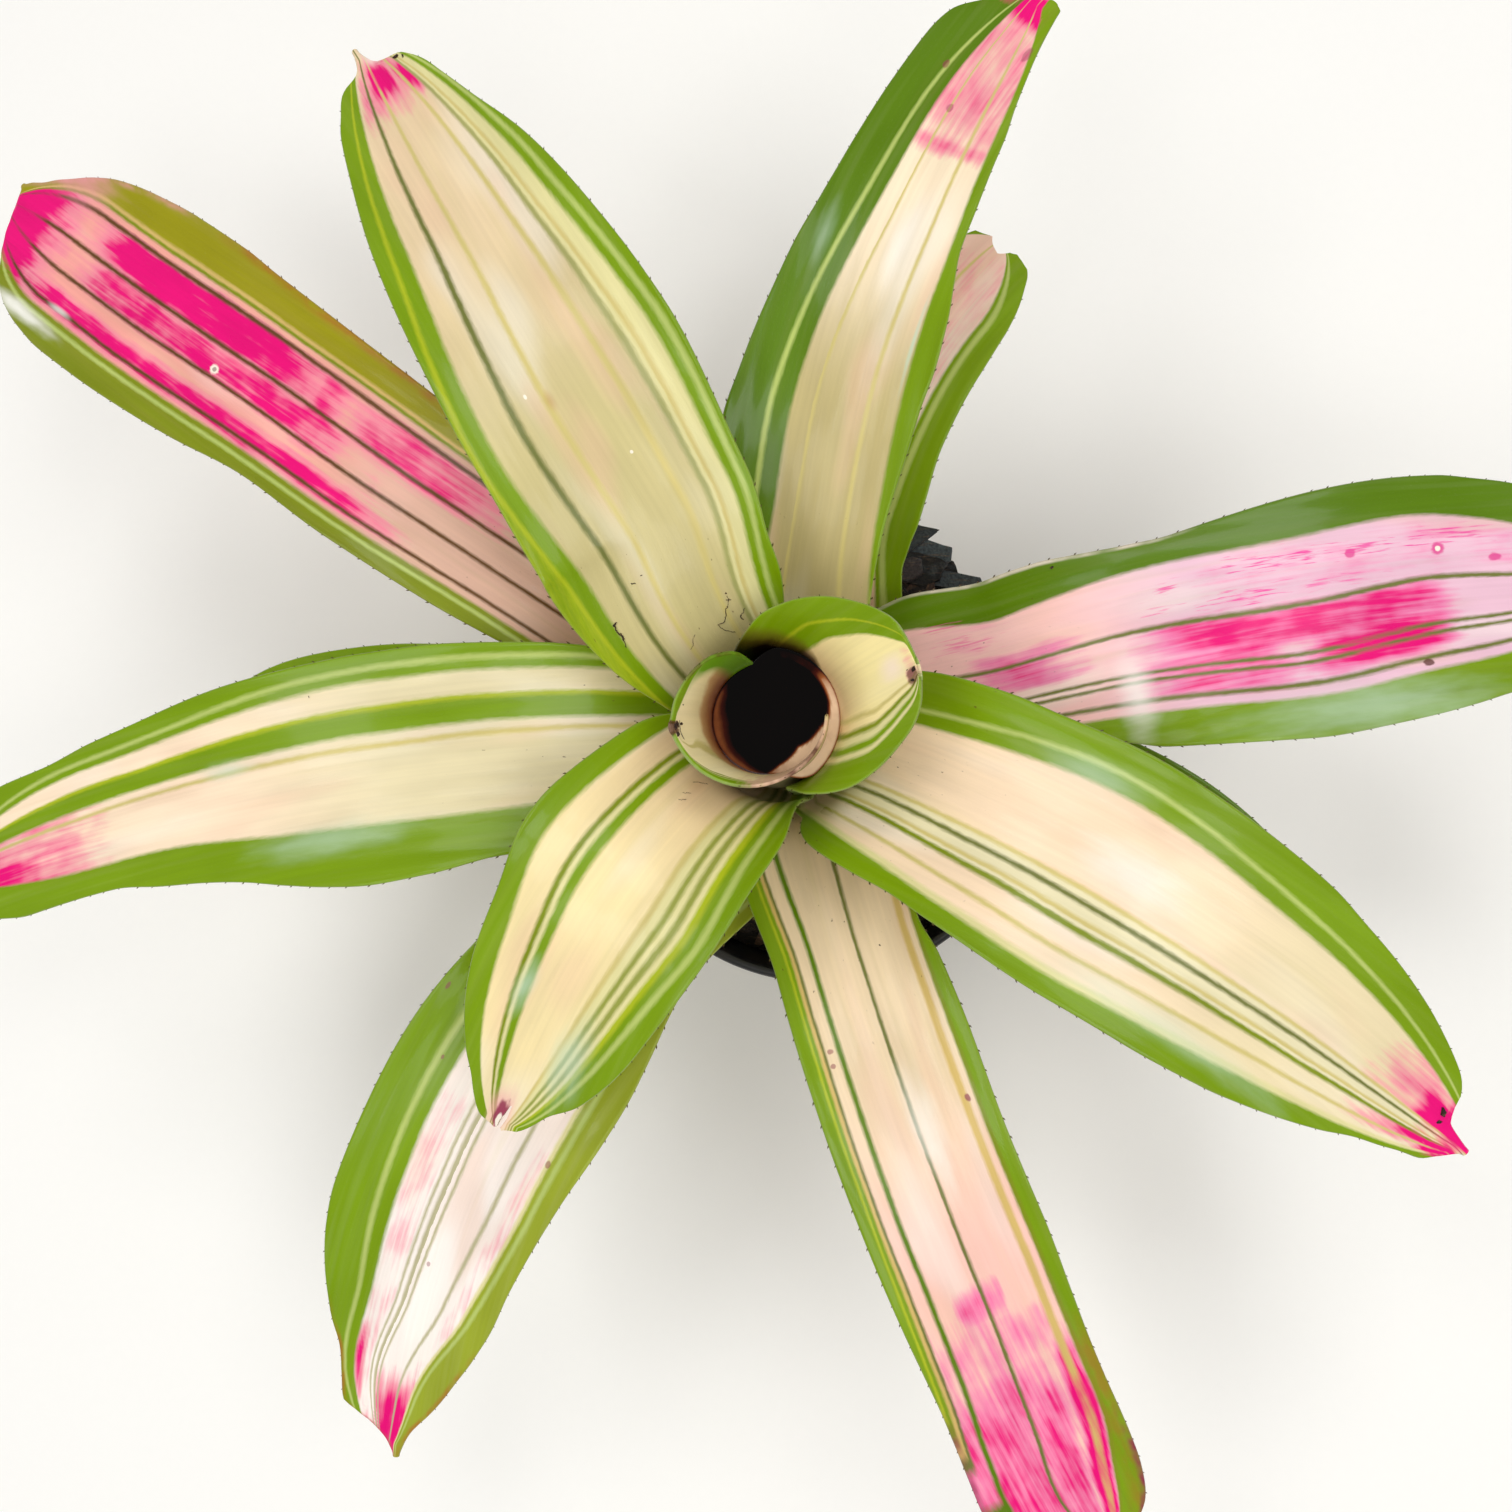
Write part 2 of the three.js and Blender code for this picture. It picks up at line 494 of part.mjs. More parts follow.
// A leaf as one thin closed body: both faces carry the same triangles, and every second
// facet of a margin is drawn out into a spine that points to the tip.
function makeLeaf(leaf, order) {
  const curve = midribCurve(leaf, order);
  const rows = leafRows(leaf, curve);
  const last = rows.length - 1;
  const { columns } = leaf;
  const across = columns + 1;
  const positions = [];
  for (const face of [1, -1]) {
    for (const share of rows) {
      for (let column = 0; column <= columns; column += 1) {
        const t = (2 * column) / columns - 1;
        const thickness = lerp(leafThickness, edgeThickness, t * t);
        const point = leafPoint(leaf, order, curve, share, t);
        point.addScaledVector(leafNormal(leaf, order, curve, share, t), (face * thickness) / 2);
        positions.push(...point);
      }
    }
  }
  const under = across * rows.length;
  const triangles = [];
  for (let row = 0; row < last; row += 1) {
    for (let column = 0; column < columns; column += 1) {
      const a = row * across + column;
      const [b, c, d] = [a + 1, a + across, a + across + 1];
      const halves = column < columns / 2 ? [a, c, d, a, d, b] : [a, c, b, b, c, d];
      const [p, q, r, s, t, u] = halves.map((corner) => under + corner);
      triangles.push(...halves, p, r, q, s, u, t);
    }
  }
  for (let column = 0; column < columns; column += 1) {
    const tip = last * across + column;
    triangles.push(column, column + 1, under + column, column + 1, under + column + 1, under + column);
    triangles.push(tip, under + tip, tip + 1, tip + 1, under + tip, under + tip + 1);
  }
  for (const side of [-1, 1]) {
    const column = side < 0 ? 0 : columns;
    for (let row = 0; row < last; row += 1) {
      const a = row * across + column;
      const b = a + across;
      const ring = side < 0 ? [a, under + a, under + b, b] : [a, b, under + b, under + a];
      if (row % 2 === 1 && row < last - 2) {
        positions.push(...toothPoint(leaf, order, curve, lerp(rows[row], rows[row + 1], 0.75), side));
        const apex = positions.length / 3 - 1;
        ring.forEach((corner, i) => triangles.push(corner, ring[(i + 1) % 4], apex));
      } else {
        triangles.push(ring[0], ring[1], ring[2], ring[0], ring[2], ring[3]);
      }
    }
  }
  return indexedGeometry(positions, triangles);
}

function toothPoint(leaf, order, curve, share, side) {
  const edge = leafPoint(leaf, order, curve, share, side);
  const inside = leafPoint(leaf, order, curve, share, 0.95 * side);
  return edge.addScaledVector(edge.clone().sub(inside).normalize(), toothLength);
}

// ---- water in the cup ----

function makeWater() {
  const curve = midribCurve(leafTable[0], 0);
  const clear = leafThickness / 2 + gap;
  const profile = [[0, waterLevel - waterDepth]];
  for (let share = 0; share <= 1; share += 0.01) {
    const place = curve.getPointAt(share);
    const inDepth = place.z >= waterLevel - waterDepth && place.z <= waterLevel;
    if (inDepth && place.z > profile[profile.length - 1][1] + 5) {
      profile.push([place.x - clear, place.z]);
    }
  }
  profile.push([profile[profile.length - 1][0], waterLevel], [0, waterLevel]);
  return lathe(profile, 30);
}

// ---- the plant in its pot ----

function addMesh(group, name, geometry, material) {
  const mesh = new THREE.Mesh(geometry, material);
  mesh.name = name;
  group.add(mesh);
}

function makePlant() {
  const plant = new THREE.Group();
  plant.position.set(rosetteX, rosetteY, 0);
  addMesh(plant, 'stem', makeStem(), finish('#6f7a3c', 0.7));
  leafTable.forEach((leaf, order) => {
    const name = `leaf_${String(order + 1).padStart(2, '0')}`;
    addMesh(plant, name, makeLeaf(leaf, order), finish('#c9c98a', 0.35));
  });
  addMesh(plant, 'tank_water', makeWater(), finish('#2a1008', 0.1));
  return plant;
}

const pottedBromeliad = new THREE.Group();
addMesh(pottedBromeliad, 'pot', makePot(), finish('#1d1e20', 0.45));
addMesh(pottedBromeliad, 'potting_mix', makeMix(), finish('#3a2a20', 0.95));
pottedBromeliad.add(makePlant());

export default pottedBromeliad;
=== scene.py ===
from functools import partial
import math
import bmesh
import bpy
import numpy as np
from mathutils import Matrix, Vector, noise


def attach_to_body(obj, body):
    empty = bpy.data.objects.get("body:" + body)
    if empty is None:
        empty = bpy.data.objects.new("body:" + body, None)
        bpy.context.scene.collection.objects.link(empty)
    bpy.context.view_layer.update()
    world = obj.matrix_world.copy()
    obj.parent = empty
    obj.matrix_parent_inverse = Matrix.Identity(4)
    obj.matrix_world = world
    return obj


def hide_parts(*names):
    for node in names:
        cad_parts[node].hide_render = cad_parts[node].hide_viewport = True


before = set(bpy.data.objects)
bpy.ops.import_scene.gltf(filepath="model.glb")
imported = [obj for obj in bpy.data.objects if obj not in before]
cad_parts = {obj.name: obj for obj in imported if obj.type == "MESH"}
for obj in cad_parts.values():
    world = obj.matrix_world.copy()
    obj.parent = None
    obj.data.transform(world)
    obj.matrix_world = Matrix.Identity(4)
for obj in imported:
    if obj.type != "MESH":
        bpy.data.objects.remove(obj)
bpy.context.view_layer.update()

mm = 0.001  # everything below is worked out in millimetres and built in metres
scene = bpy.context.scene
scene.view_settings.view_transform = "Standard"


def fromHex(code, alpha=1.0):
    # sRGB hex to the linear colour that shaders use
    parts = [int(code[i:i + 2], 16) / 255 for i in (1, 3, 5)]
    linear = [c / 12.92 if c <= 0.04045 else ((c + 0.055) / 1.055) ** 2.4 for c in parts]
    return (*linear, alpha)


def addNode(tree, kind, links=(), **settings):
    # links: the inputs in their own order, or by name or number, each a fixed value, an output, or a node,
    # which stands for its first output in use; settings: the node's own options
    # a MapRange lists its value, the two ends it is read between, and what they become (0 and 1 if not said)
    node = tree.nodes.new("ShaderNode" + kind)
    for key, value in settings.items():
        setattr(node, key, value)
    for key, value in links.items() if isinstance(links, dict) else enumerate(links):
        if isinstance(value, bpy.types.Node):
            value = next(output for output in value.outputs if output.enabled)
        if isinstance(value, bpy.types.NodeSocket):
            tree.links.new(value, node.inputs[key])
        else:
            node.inputs[key].default_value = value
    return node


def newMaterial(name):
    # an empty material, and the function that adds a node to it
    material = bpy.data.materials.new(name)
    material.use_nodes = True
    material.node_tree.nodes.clear()
    return material, partial(addNode, material.node_tree)


def finishMaterial(add, colour, rough, relief=None, strength=0.0, depth=0.0, more=()):
    # the surface: colour, roughness, relief (how strong, and how deep in millimetres), and what else it has
    inputs = {"Base Color": colour, "Roughness": rough, **dict(more)}
    if relief is not None:
        inputs["Normal"] = add("Bump", {"Height": relief, "Strength": strength, "Distance": depth * mm})
    add("OutputMaterial", [add("BsdfPrincipled", inputs)])


def fillRamp(node, stops):
    # stops: rising (place, colour) pairs
    ramp = node.color_ramp
    while len(ramp.elements) > 1:
        ramp.elements.remove(ramp.elements[-1])
    ramp.elements[0].position, ramp.elements[0].color = stops[0]
    for place, colour in stops[1:]:
        ramp.elements.new(place).color = colour
    return node.outputs["Color"], node.outputs["Alpha"]


def addPiece(name, vertices, faces, material, slotName, nodes=(), smooth=True):
    # vertices in millimetres; nodes: the solids that the piece takes the place of
    mesh = bpy.data.meshes.new(name)
    mesh.from_pydata((np.asarray(vertices, float) * mm).tolist(), [], [tuple(map(int, face)) for face in faces])
    mesh.update()
    mesh.polygons.foreach_set("use_smooth", [smooth] * len(mesh.polygons))
    mesh.materials.append(material)
    piece = bpy.data.objects.new(name, mesh)
    scene.collection.objects.link(piece)
    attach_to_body(piece, "root")
    if nodes:
        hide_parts(*nodes)
    return piece


def addValues(piece, name, values, kind="FLOAT"):
    layer = piece.data.attributes.new(name, kind, "POINT")
    layer.data.foreach_set("value" if kind == "FLOAT" else "vector", np.asarray(values, float).ravel())


def blend(a, b, t):
    return a + (b - a) * t


def ease(x, low, high):
    t = np.clip((x - low) / (high - low), 0, 1)
    return t * t * (3 - 2 * t)


def unit(v):
    return v / np.maximum(np.linalg.norm(v, axis=-1, keepdims=True), 1e-12)


def hullOf(corners):
    # the smallest closed body round the corners
    hull = bmesh.new()
    for corner in corners:
        hull.verts.new(corner)
    bmesh.ops.convex_hull(hull, input=hull.verts)
    bmesh.ops.delete(hull, geom=[v for v in hull.verts if not v.link_faces], context="VERTS")
    return hull


# The plant's sizes, in millimetres and degrees, as in the solids.
plant = {
    "middle": (-4.7, 4.3),  # the rosette's axis in the pot
    "gap": 0.3,
    "mixLevel": 78, "waterLevel": 152, "stemFoot": 58, "stemTop": 114,
    "stemFootRadius": 7.6, "stemTopRadius": 5.2,
    "firstAttach": 112, "attachPitch": 2.25,  # where leaves join the stem
    "cupRadius": 12, "sheathStep": (0, 2, 3.6), "sheathPitch": 0.98,
    "sheathRise": 14, "heel": (0.72, 0.2),
    "openingLength": 32,  # a sheath opens into its blade over this radius
    "thickness": 1.2, "edgeThickness": 0.7,
    "pointWidth": 1.2, "tipRounding": 0.6, "cupRounding": 0.5,
    "sweepPower": 1.5,
    "waveTurns": 21, "waveShift": 1.9, "waveSkew": 1.3,  # ripple of the margins
}
middle = np.array([*plant["middle"], 0.0])


def splineAt(corners, t):
    # centripetal spline through the corners
    corners = np.array(corners, float)
    knots = np.vstack([2 * corners[0] - corners[1], corners, 2 * corners[-1] - corners[-2]])
    place = np.clip(t, 0, 1) * (len(corners) - 1)
    step = np.minimum(place.astype(int), len(corners) - 2)
    w = (place - step)[..., None]
    a, b, c, d = (knots[step + k] for k in range(4))
    ga, gb, gc = (np.sqrt(np.linalg.norm(q - p, axis=-1, keepdims=True)) for p, q in ((a, b), (b, c), (c, d)))
    leave = gb * ((b - a) / ga - (c - a) / (ga + gb) + (c - b) / gb)
    arrive = gb * ((c - b) / gb - (d - b) / (gb + gc) + (d - c) / gc)
    return b + w * (leave + w * (3 * (c - b) - 2 * leave - arrive + w * (2 * (b - c) + leave + arrive)))


def evenSpline(corners, share):
    # the same, by share of its length, with that length
    t = np.linspace(0, 1, 201)
    steps = np.linalg.norm(np.diff(splineAt(corners, t), axis=0), axis=1)
    lengths = np.concatenate([[0], np.cumsum(steps)])
    return splineAt(corners, np.interp(share * lengths[-1], lengths, t)), lengths[-1]


def stemRadius(z):
    return blend(plant["stemFootRadius"], plant["stemTopRadius"],
                 ease(np.asarray(z, float), plant["mixLevel"], plant["stemTop"]))


def sheathRadius(order):
    steps = plant["sheathStep"]
    return plant["cupRadius"] + (steps[order] if order < 3 else steps[2] + plant["sheathPitch"] * (order - 2))


def midribCorners(leaf, order):
    attach = plant["firstAttach"] - plant["attachPitch"] * order
    sheath = sheathRadius(order)
    return [[float(stemRadius(attach)) + plant["gap"] + plant["thickness"] / 3, attach],
            [plant["heel"][0] * sheath, attach + plant["heel"][1] * plant["sheathRise"]],
            [sheath, attach + plant["sheathRise"]], leaf["shoulder"], leaf["crown"], leaf["tip"]]


def leafLength(order):
    return evenSpline(midribCorners(leafTable[order], order), np.array([0.0]))[1]


def midrib(leaf, order, share):
    # middle line of a leaf, and its radius
    place, length = evenSpline(midribCorners(leaf, order), share)
    r, z = place[..., 0], place[..., 1]
    if leaf.get("cup"):
        bearing = np.radians(leaf["base"]) * np.ones_like(r)
    else:
        sheath = sheathRadius(order)
        out = np.maximum(0, (r - sheath) / (leaf["tip"][0] - sheath))
        turn = blend(leaf["base"], leaf["azimuth"], ease(r, sheath, sheath + plant["openingLength"]))
        bearing = np.radians(turn + leaf["sweep"] * out ** plant["sweepPower"])
    return np.stack([r * np.cos(bearing), r * np.sin(bearing), z], axis=-1), r


def smoothLine(places, values, at):
    # smooth line through the values that never swings past them
    places, values = np.array(places, float), np.array(values, float)
    rise = np.diff(values) / np.diff(places)
    slope = np.zeros(len(values))
    same = rise[:-1] * rise[1:] > 0
    slope[1:-1][same] = 2 / (1 / rise[:-1][same] + 1 / rise[1:][same])
    k = np.clip(np.searchsorted(places, at) - 1, 0, len(values) - 2)
    span = places[k + 1] - places[k]
    t = np.clip((at - places[k]) / span, 0, 1)
    line = values[k] + t * t * (3 - 2 * t) * (values[k + 1] - values[k])
    return line + t * (1 - t) * span * ((1 - t) * slope[k] - t * slope[k + 1])


def placeAcross(leaf, share, across):
    # place between the margins, as a share of the half width
    if "outline" not in leaf:
        return across
    shares, rights, lefts = zip(*leaf["outline"])
    return blend(smoothLine(shares, rights, share), smoothLine(shares, lefts, share), (across + 1) / 2)


def endShare(leaf, share):
    # how much of the full width is left towards a rounded end
    fill = np.clip((share - leaf["taper"]) / (1 - leaf["taper"]), 0, 1)
    return (1 - fill ** 2) ** (plant["cupRounding"] if leaf.get("cup") else plant["tipRounding"])


def crossSection(leaf, order, share, r):
    # half width, half fold angle, and how far the sheath has opened
    sheath = sheathRadius(order)
    end = np.ones_like(r) if "outline" in leaf else endShare(leaf, share)
    clasp = np.radians(leaf["wrap"]) * np.minimum(r, sheath)
    least = plant["pointWidth"] / 2
    if leaf.get("cup"):
        half = np.maximum(least, clasp * end)
        return half, half / r, np.zeros_like(r)
    opened = ease(r, sheath, sheath + plant["openingLength"])
    out = np.maximum(0, (r - sheath) / (leaf["tip"][0] - sheath))
    blade = leaf["width"] / 2 * blend(leaf["neck"], 1, ease(out, 0.1, leaf["broad"]))
    half = np.maximum(least, blend(clasp, blade, opened) * end)
    curvature = blend(1 / r, np.radians(leaf["channel"]) * (1 - 0.5 * out) / blade, opened)
    return half, half * curvature, opened


def leafSurface(leaf, order, share, across):
    # points of a leaf's middle surface round the rosette's axis, the half width and the place across it
    share, across = np.broadcast_arrays(np.asarray(share, float), np.asarray(across, float))
    point, r = midrib(leaf, order, share)
    back, _ = midrib(leaf, order, np.maximum(0, share - 0.01))
    ahead, _ = midrib(leaf, order, np.minimum(1, share + 0.01))
    half, fold, opened = crossSection(leaf, order, share, r)
    place = placeAcross(leaf, share, across)
    along = unit(ahead - back)
    level = np.array([1, 1, 0.0])
    heading = unit(blend(unit(point * level), unit(along * level), opened[..., None]))
    side = np.cross(np.array([0, 0, 1.0]), heading)
    lift = unit(blend(-heading, np.cross(along, side), opened[..., None]))
    bend = half / fold
    angle = place * fold
    turns = plant["waveTurns"] * share + plant["waveShift"] * order + plant["waveSkew"] * place
    ripple = 0 if leaf.get("cup") else leaf["wave"] * opened * place ** 2 * np.sin(turns)
    sideways = side * (bend * np.sin(angle))[..., None]
    upward = lift * (bend * (1 - np.cos(angle)) + ripple)[..., None]
    return point + sideways + upward, half, place


# One entry for each leaf, innermost first. The first values are the solids' own:
# base and azimuth the bearings of sheath and blade, sweep the turn of the midrib, wrap half the clasp,
# shoulder, crown and tip (radius, height), width and neck and broad and taper the outline, channel the fold,
# wave the ripple. rose: the leaf's own pale pink, where it has one.
# outline: share of the length, right edge and left edge there, as shares of the half width
# end: how far the end falls back from the tip, in millimetres, across the leaf
# ground: the colour between the stripes near the stem and further out, and where along the leaf it changes
# bands: from the left margin to the right one, the place (1 to -1) where each band ends, and its tone
# drift: (share of the length, shift, stretch) of the stripes there
# flush: (from, to, right side, left side, strength) of each pink place
# marks: (distance along the leaf, distance to the left of its midrib, half length, half width, tone, strength),
#   in millimetres, of each single spot and bruise, and of each painted highlight and patch of painted sheen
# edges: (from, to, side: 1 left, -1 right, 0 both, width in millimetres, tone, strength) of each tinted margin;
#   what the strength has above 1 also closes the gaps in it
leafTable = [
    # leaf_01
    dict(cup=True, base=196, wrap=140, shoulder=(12.3, 153), crown=(13.6, 165), tip=(16.9, 174), taper=0.62,
         outline=[(0.7, -0.66, 1.22), (0.74, -0.66, 1.22), (0.79, -0.66, 1.08), (0.83, -0.65, 0.99),
           (0.86, -0.62, 0.91), (0.895, -0.55, 0.78), (0.925, -0.41, 0.66), (0.95, -0.28, 0.52),
           (0.965, -0.21, 0.4), (0.976, -0.14, 0.31), (0.986, -0.09, 0.16), (1, -0.06, 0.02)],
         ground=("#eccb78", "#f7e6b0", 0.55, 0.9),
         bands=[(0.74, "green"), (0.7, "light"), (0.62, "olive"), (0.57, "pale"), (0.52, "olive"),
           (0.02, None), (-0.02, "faint"), (-0.7, None), (-1.1, "green")],
         drift=[(0.86, 0, 2.3), (0.93, 0, 1)],
         marks=[(64.2, -0.8, 2.6, 1.7, "bruise", 0.9), (55.5, 28, 11, 14, "flesh", 0.97)],
         edges=[(0.45, 0.9, -1, 4.6, "leafGreen", 1.9), (0.8, 0.93, 0, 0.7, "bruise", 0.85)]),
    # leaf_02
    dict(cup=True, base=22, wrap=101, shoulder=(14.8, 149), crown=(20.5, 161), tip=(32.3, 171), taper=0.7,
         outline=[(0.6, -1, 1.05), (0.64, -1.02, 1.05), (0.72, -1.06, 1.02), (0.77, -1.06, 1),
           (0.83, -1.03, 0.885), (0.88, -0.91, 0.74), (0.93, -0.74, 0.53), (0.97, -0.6, 0.34),
           (0.99, -0.46, 0.2), (1, -0.3, -0.12)],
         ground=("#e4c090", "#fbeaa8", 0.55, 0.86),
         bands=[(0.63, "green"), (0.612, "lime"), (0.42, "green"), (-0.28, None), (-0.31, "faint"),
           (-0.39, None), (-0.44, "olive"), (-0.52, "pale"), (-0.6, "green"), (-0.66, "pale"), (-1.1, "green")],
         flush=[(0.96, 1, -0.4, 0.3, 0.3)],
         marks=[(65.5, -2.5, 5, 4, "glow", 0.65), (69.6, -6, 1.6, 2.2, "bruise", 0.75)]),
    # leaf_03
    dict(base=229, azimuth=231, sweep=5, wrap=64, shoulder=(20, 148), crown=(46, 164), tip=(102.5, 147),
           width=46, neck=0.88, broad=0.4, taper=0.52, channel=30, wave=0.6,
         outline=[(0.3, -1.05, 1.05), (0.4, -1.2, 1.18), (0.5, -1.15, 1.08), (0.56, -1.06, 1),
           (0.64, -0.93, 0.97), (0.74, -0.85, 0.9), (0.8, -0.77, 0.82), (0.85, -0.68, 0.72), (0.9, -0.56, 0.58),
           (0.94, -0.42, 0.38), (0.97, -0.32, 0.27), (0.99, -0.23, 0.17), (1, -0.1, 0.06)],
         end=[(-1, -0.8), (-0.4, 0), (0.04, -0.4), (0.13, -6.5), (0.2, -6.5), (0.29, -0.6), (0.7, 0),
           (1, -1.2)],
         ground=("#eed3a8", "#f5e1aa", 0.3, 0.6),
         bands=[(0.84, "green"), (0.785, "light"), (0.71, "green"), (0.65, "lime"), (0.6, "pale"),
           (0.53, "greyGreen"), (0.475, "pale"), (0.42, "greyGreen"), (0.335, "pale"), (0.29, "faint"),
           (-0.295, None), (-0.395, "green"), (-0.44, "pale"), (-0.49, "olive"), (-0.74, None), (-1.1, "green")],
         drift=[(0.4, -0.06, 1.22), (0.72, 0, 1)],
         flush=[(0.965, 1, -0.3, 0.08, 0.55)],
         marks=[(46.5, -3, 5, 3.5, "rust", 0.22), (113.5, 8.2, 16, 6.5, "bloom", 0.5),
           (103.4, -7.1, 9, 3, "bloom", 0.6), (131.5, -0.6, 8, 4.2, "rosy", 0.75),
           (132.5, -0.6, 4.6, 1.8, "wine", 0.9), (134, -0.6, 2, 0.8, "white", 0.9)]),
    # leaf_04
    dict(base=128, azimuth=120, sweep=1, wrap=58, shoulder=(25, 143), crown=(84, 164), tip=(184, 143),
           width=51, neck=0.84, broad=0.4, taper=0.48, channel=26, wave=0.8,
         outline=[(0.18, -1, 1), (0.25, -1.13, 1.16), (0.3, -1.06, 1.22), (0.35, -1.05, 1.16),
           (0.45, -1.04, 1.03), (0.55, -1, 0.97), (0.65, -0.92, 0.91), (0.75, -0.79, 0.83), (0.85, -0.58, 0.68),
           (0.9, -0.47, 0.58), (0.93, -0.4, 0.48), (0.95, -0.31, 0.4), (0.96, -0.24, 0.32), (0.966, -0.06, 0.2),
           (0.98, 0.02, 0.13), (1, 0.06, 0.1)],
         ground=("#cdc088", "#e8d0a8", 0.42, 0.72),
         bands=[(0.85, "green"), (0.82, "lime"), (0.68, "green"), (0.455, None), (0.405, "dark"), (0.19, None),
           (0.15, "faint"), (-0.32, None), (-0.37, "faint"), (-0.52, None), (-0.57, "grey"), (-0.605, "pale"),
           (-0.635, "faint"), (-0.755, "pale"), (-0.835, "green"), (-0.875, "light"), (-1.1, "green")],
         drift=[(0.4, 0.04, 1.18), (0.7, 0, 1)],
         flush=[(0.89, 0.97, -0.55, 0.6, 0.5), (0.91, 0.965, -0.2, 0.28, 1), (0.9, 0.95, -0.55, -0.3, 0.95)],
         marks=[(105.6, 9.1, 0.7, 0.4, "white", 0.9), (84.8, -4, 0.45, 0.45, "white", 0.9),
           (102.2, 5.1, 3.2, 1.6, "rust", 0.35), (206, 0, 6, 2.5, "glow", 0.8)]),
    # leaf_05
    dict(base=336, azimuth=336, sweep=-8, wrap=58, shoulder=(25, 136), crown=(72, 156), tip=(166, 134),
           width=49, neck=0.84, broad=0.4, taper=0.5, channel=24, wave=0.8,
         outline=[(0.14, -1, 1), (0.22, -1.25, 1.25), (0.27, -1.2, 1.27), (0.32, -1.13, 1.22),
           (0.4, -1.11, 1.11), (0.5, -1.1, 1.03), (0.6, -1.09, 0.97), (0.7, -1.02, 0.9), (0.75, -0.95, 0.82),
           (0.8, -0.85, 0.74), (0.85, -0.71, 0.64), (0.89, -0.56, 0.54), (0.92, -0.47, 0.45), (0.94, -0.4, 0.37),
           (0.95, -0.37, 0.29), (0.957, -0.35, 0.15), (0.965, -0.32, 0.05), (0.98, -0.2, 0.02), (1, -0.05, 0)],
         ground=("#fbdfbe", "#eddcb2", 0.5, 0.75),
         bands=[(0.705, "green"), (0.675, "light"), (0.54, "green"), (-0.185, None), (-0.215, "faint"),
           (-0.272, "ivory"), (-0.308, "dark"), (-0.405, "ivory"), (-0.44, "faint"), (-0.465, "ivory"),
           (-0.52, "olive"), (-0.675, None), (-0.705, "faint"), (-0.84, None), (-0.9, "pale"), (-1.1, "green")],
         drift=[(0.4, 0.065, 1.12), (0.7, 0, 1)],
         flush=[(0.87, 0.98, -0.75, 0.55, 0.5), (0.92, 0.97, -0.65, 0.35, 0.95), (0.955, 1, -1, 1, 1.15)],
         marks=[(99, 3, 16, 7.5, "shine", 0.5), (118, -19.5, 45, 4.5, "bloom", 0.42),
           (84, 17.5, 14, 4.4, "bloom", 0.4)]),
    # leaf_06
    dict(base=185, azimuth=184.5, sweep=5, wrap=60, shoulder=(26, 128), crown=(82, 146), tip=(208, 122),
           width=47, neck=0.94, broad=0.3, taper=0.58, channel=22, wave=1.2,
         outline=[(0.2, -1, 1), (0.33, -1.03, 1), (0.4, -1.05, 1.08), (0.45, -1.05, 1.11), (0.5, -1.03, 1.06),
           (0.55, -1, 0.97), (0.6, -0.97, 0.86), (0.65, -0.93, 0.78), (0.7, -0.88, 0.72), (0.76, -0.82, 0.63),
           (0.82, -0.73, 0.62), (0.88, -0.7, 0.62), (0.92, -0.64, 0.56), (0.95, -0.52, 0.46), (0.98, -0.3, 0.28),
           (1, -0.08, 0.08)],
         ground=("#e4d7ae", "#fde4c6", 0.4, 0.65),
         bands=[(0.4, "green"), (-0.165, None), (-0.195, "faint"), (-0.27, None), (-0.45, "green"),
           (-0.475, "lime"), (-0.655, None), (-0.735, "green"), (-0.765, "light"), (-1.1, "green")],
         drift=[(0.45, 0.043, 1.267), (0.7, 0, 1), (0.85, 0.02, 1.1)],
         flush=[(0.78, 1, -0.3, 0.5, 0.5), (0.85, 1, 0.1, 0.45, 0.8)],
         marks=[(111, 14.7, 26, 5.5, "bloom", 0.45), (134.3, -5.1, 10, 3, "bloom", 0.5)]),
    # leaf_07
    dict(base=84, azimuth=82.3, sweep=-12, wrap=60, shoulder=(27, 124), crown=(84, 146), tip=(175, 134),
           width=35, neck=0.98, broad=0.4, taper=0.52, channel=24, wave=1,
         outline=[(0.2, -0.9, 1), (0.3, -1, 1.15), (0.4, -1.13, 1.24), (0.45, -1.17, 1.17), (0.5, -1.23, 1.1),
           (0.55, -1.2, 1.02), (0.6, -1.1, 0.95), (0.65, -1, 0.87), (0.7, -0.97, 0.83), (0.75, -0.92, 0.82),
           (0.8, -0.85, 0.82), (0.85, -0.72, 0.81), (0.89, -0.62, 0.79), (0.92, -0.54, 0.73),
           (0.95, -0.47, 0.52), (0.97, -0.43, 0.32), (0.985, -0.4, 0.12), (0.995, -0.38, -0.05),
           (1, -0.3, -0.2)],
         ground=("#c2b27c", "#fbe6c6", 0.42, 0.68),
         bands=[(0.445, "deep"), (0.395, "light"), (0.205, "deep"), (-0.015, None), (-0.045, "faint"),
           (-0.57, None), (-0.61, "faint"), (-0.92, None), (-1.1, "green")],
         drift=[(0.4, 0.2, 1.2), (0.7, 0, 1), (0.9, 0.06, 1.1)],
         flush=[(0.757, 0.78, -0.9, 0.2, 0.58), (0.775, 0.97, -0.95, 0.6, 0.5), (0.955, 1, -1, 1, 1)],
         marks=[(117.9, -4.5, 17, 4, "shine", 0.42), (116, 11.5, 10, 2.6, "bloom", 0.3),
           (98, -15.2, 16, 0.7, "bloom", 0.7), (162.3, 6.3, 1.4, 0.8, "wine", 0.6),
           (153.4, 0, 1.3, 0.9, "wine", 0.5), (173.7, -7.5, 2.5, 1, "wine", 0.5)]),
    # leaf_08
    dict(base=287.5, azimuth=287.5, sweep=4, wrap=60, shoulder=(28, 117), crown=(84, 137), tip=(193, 108),
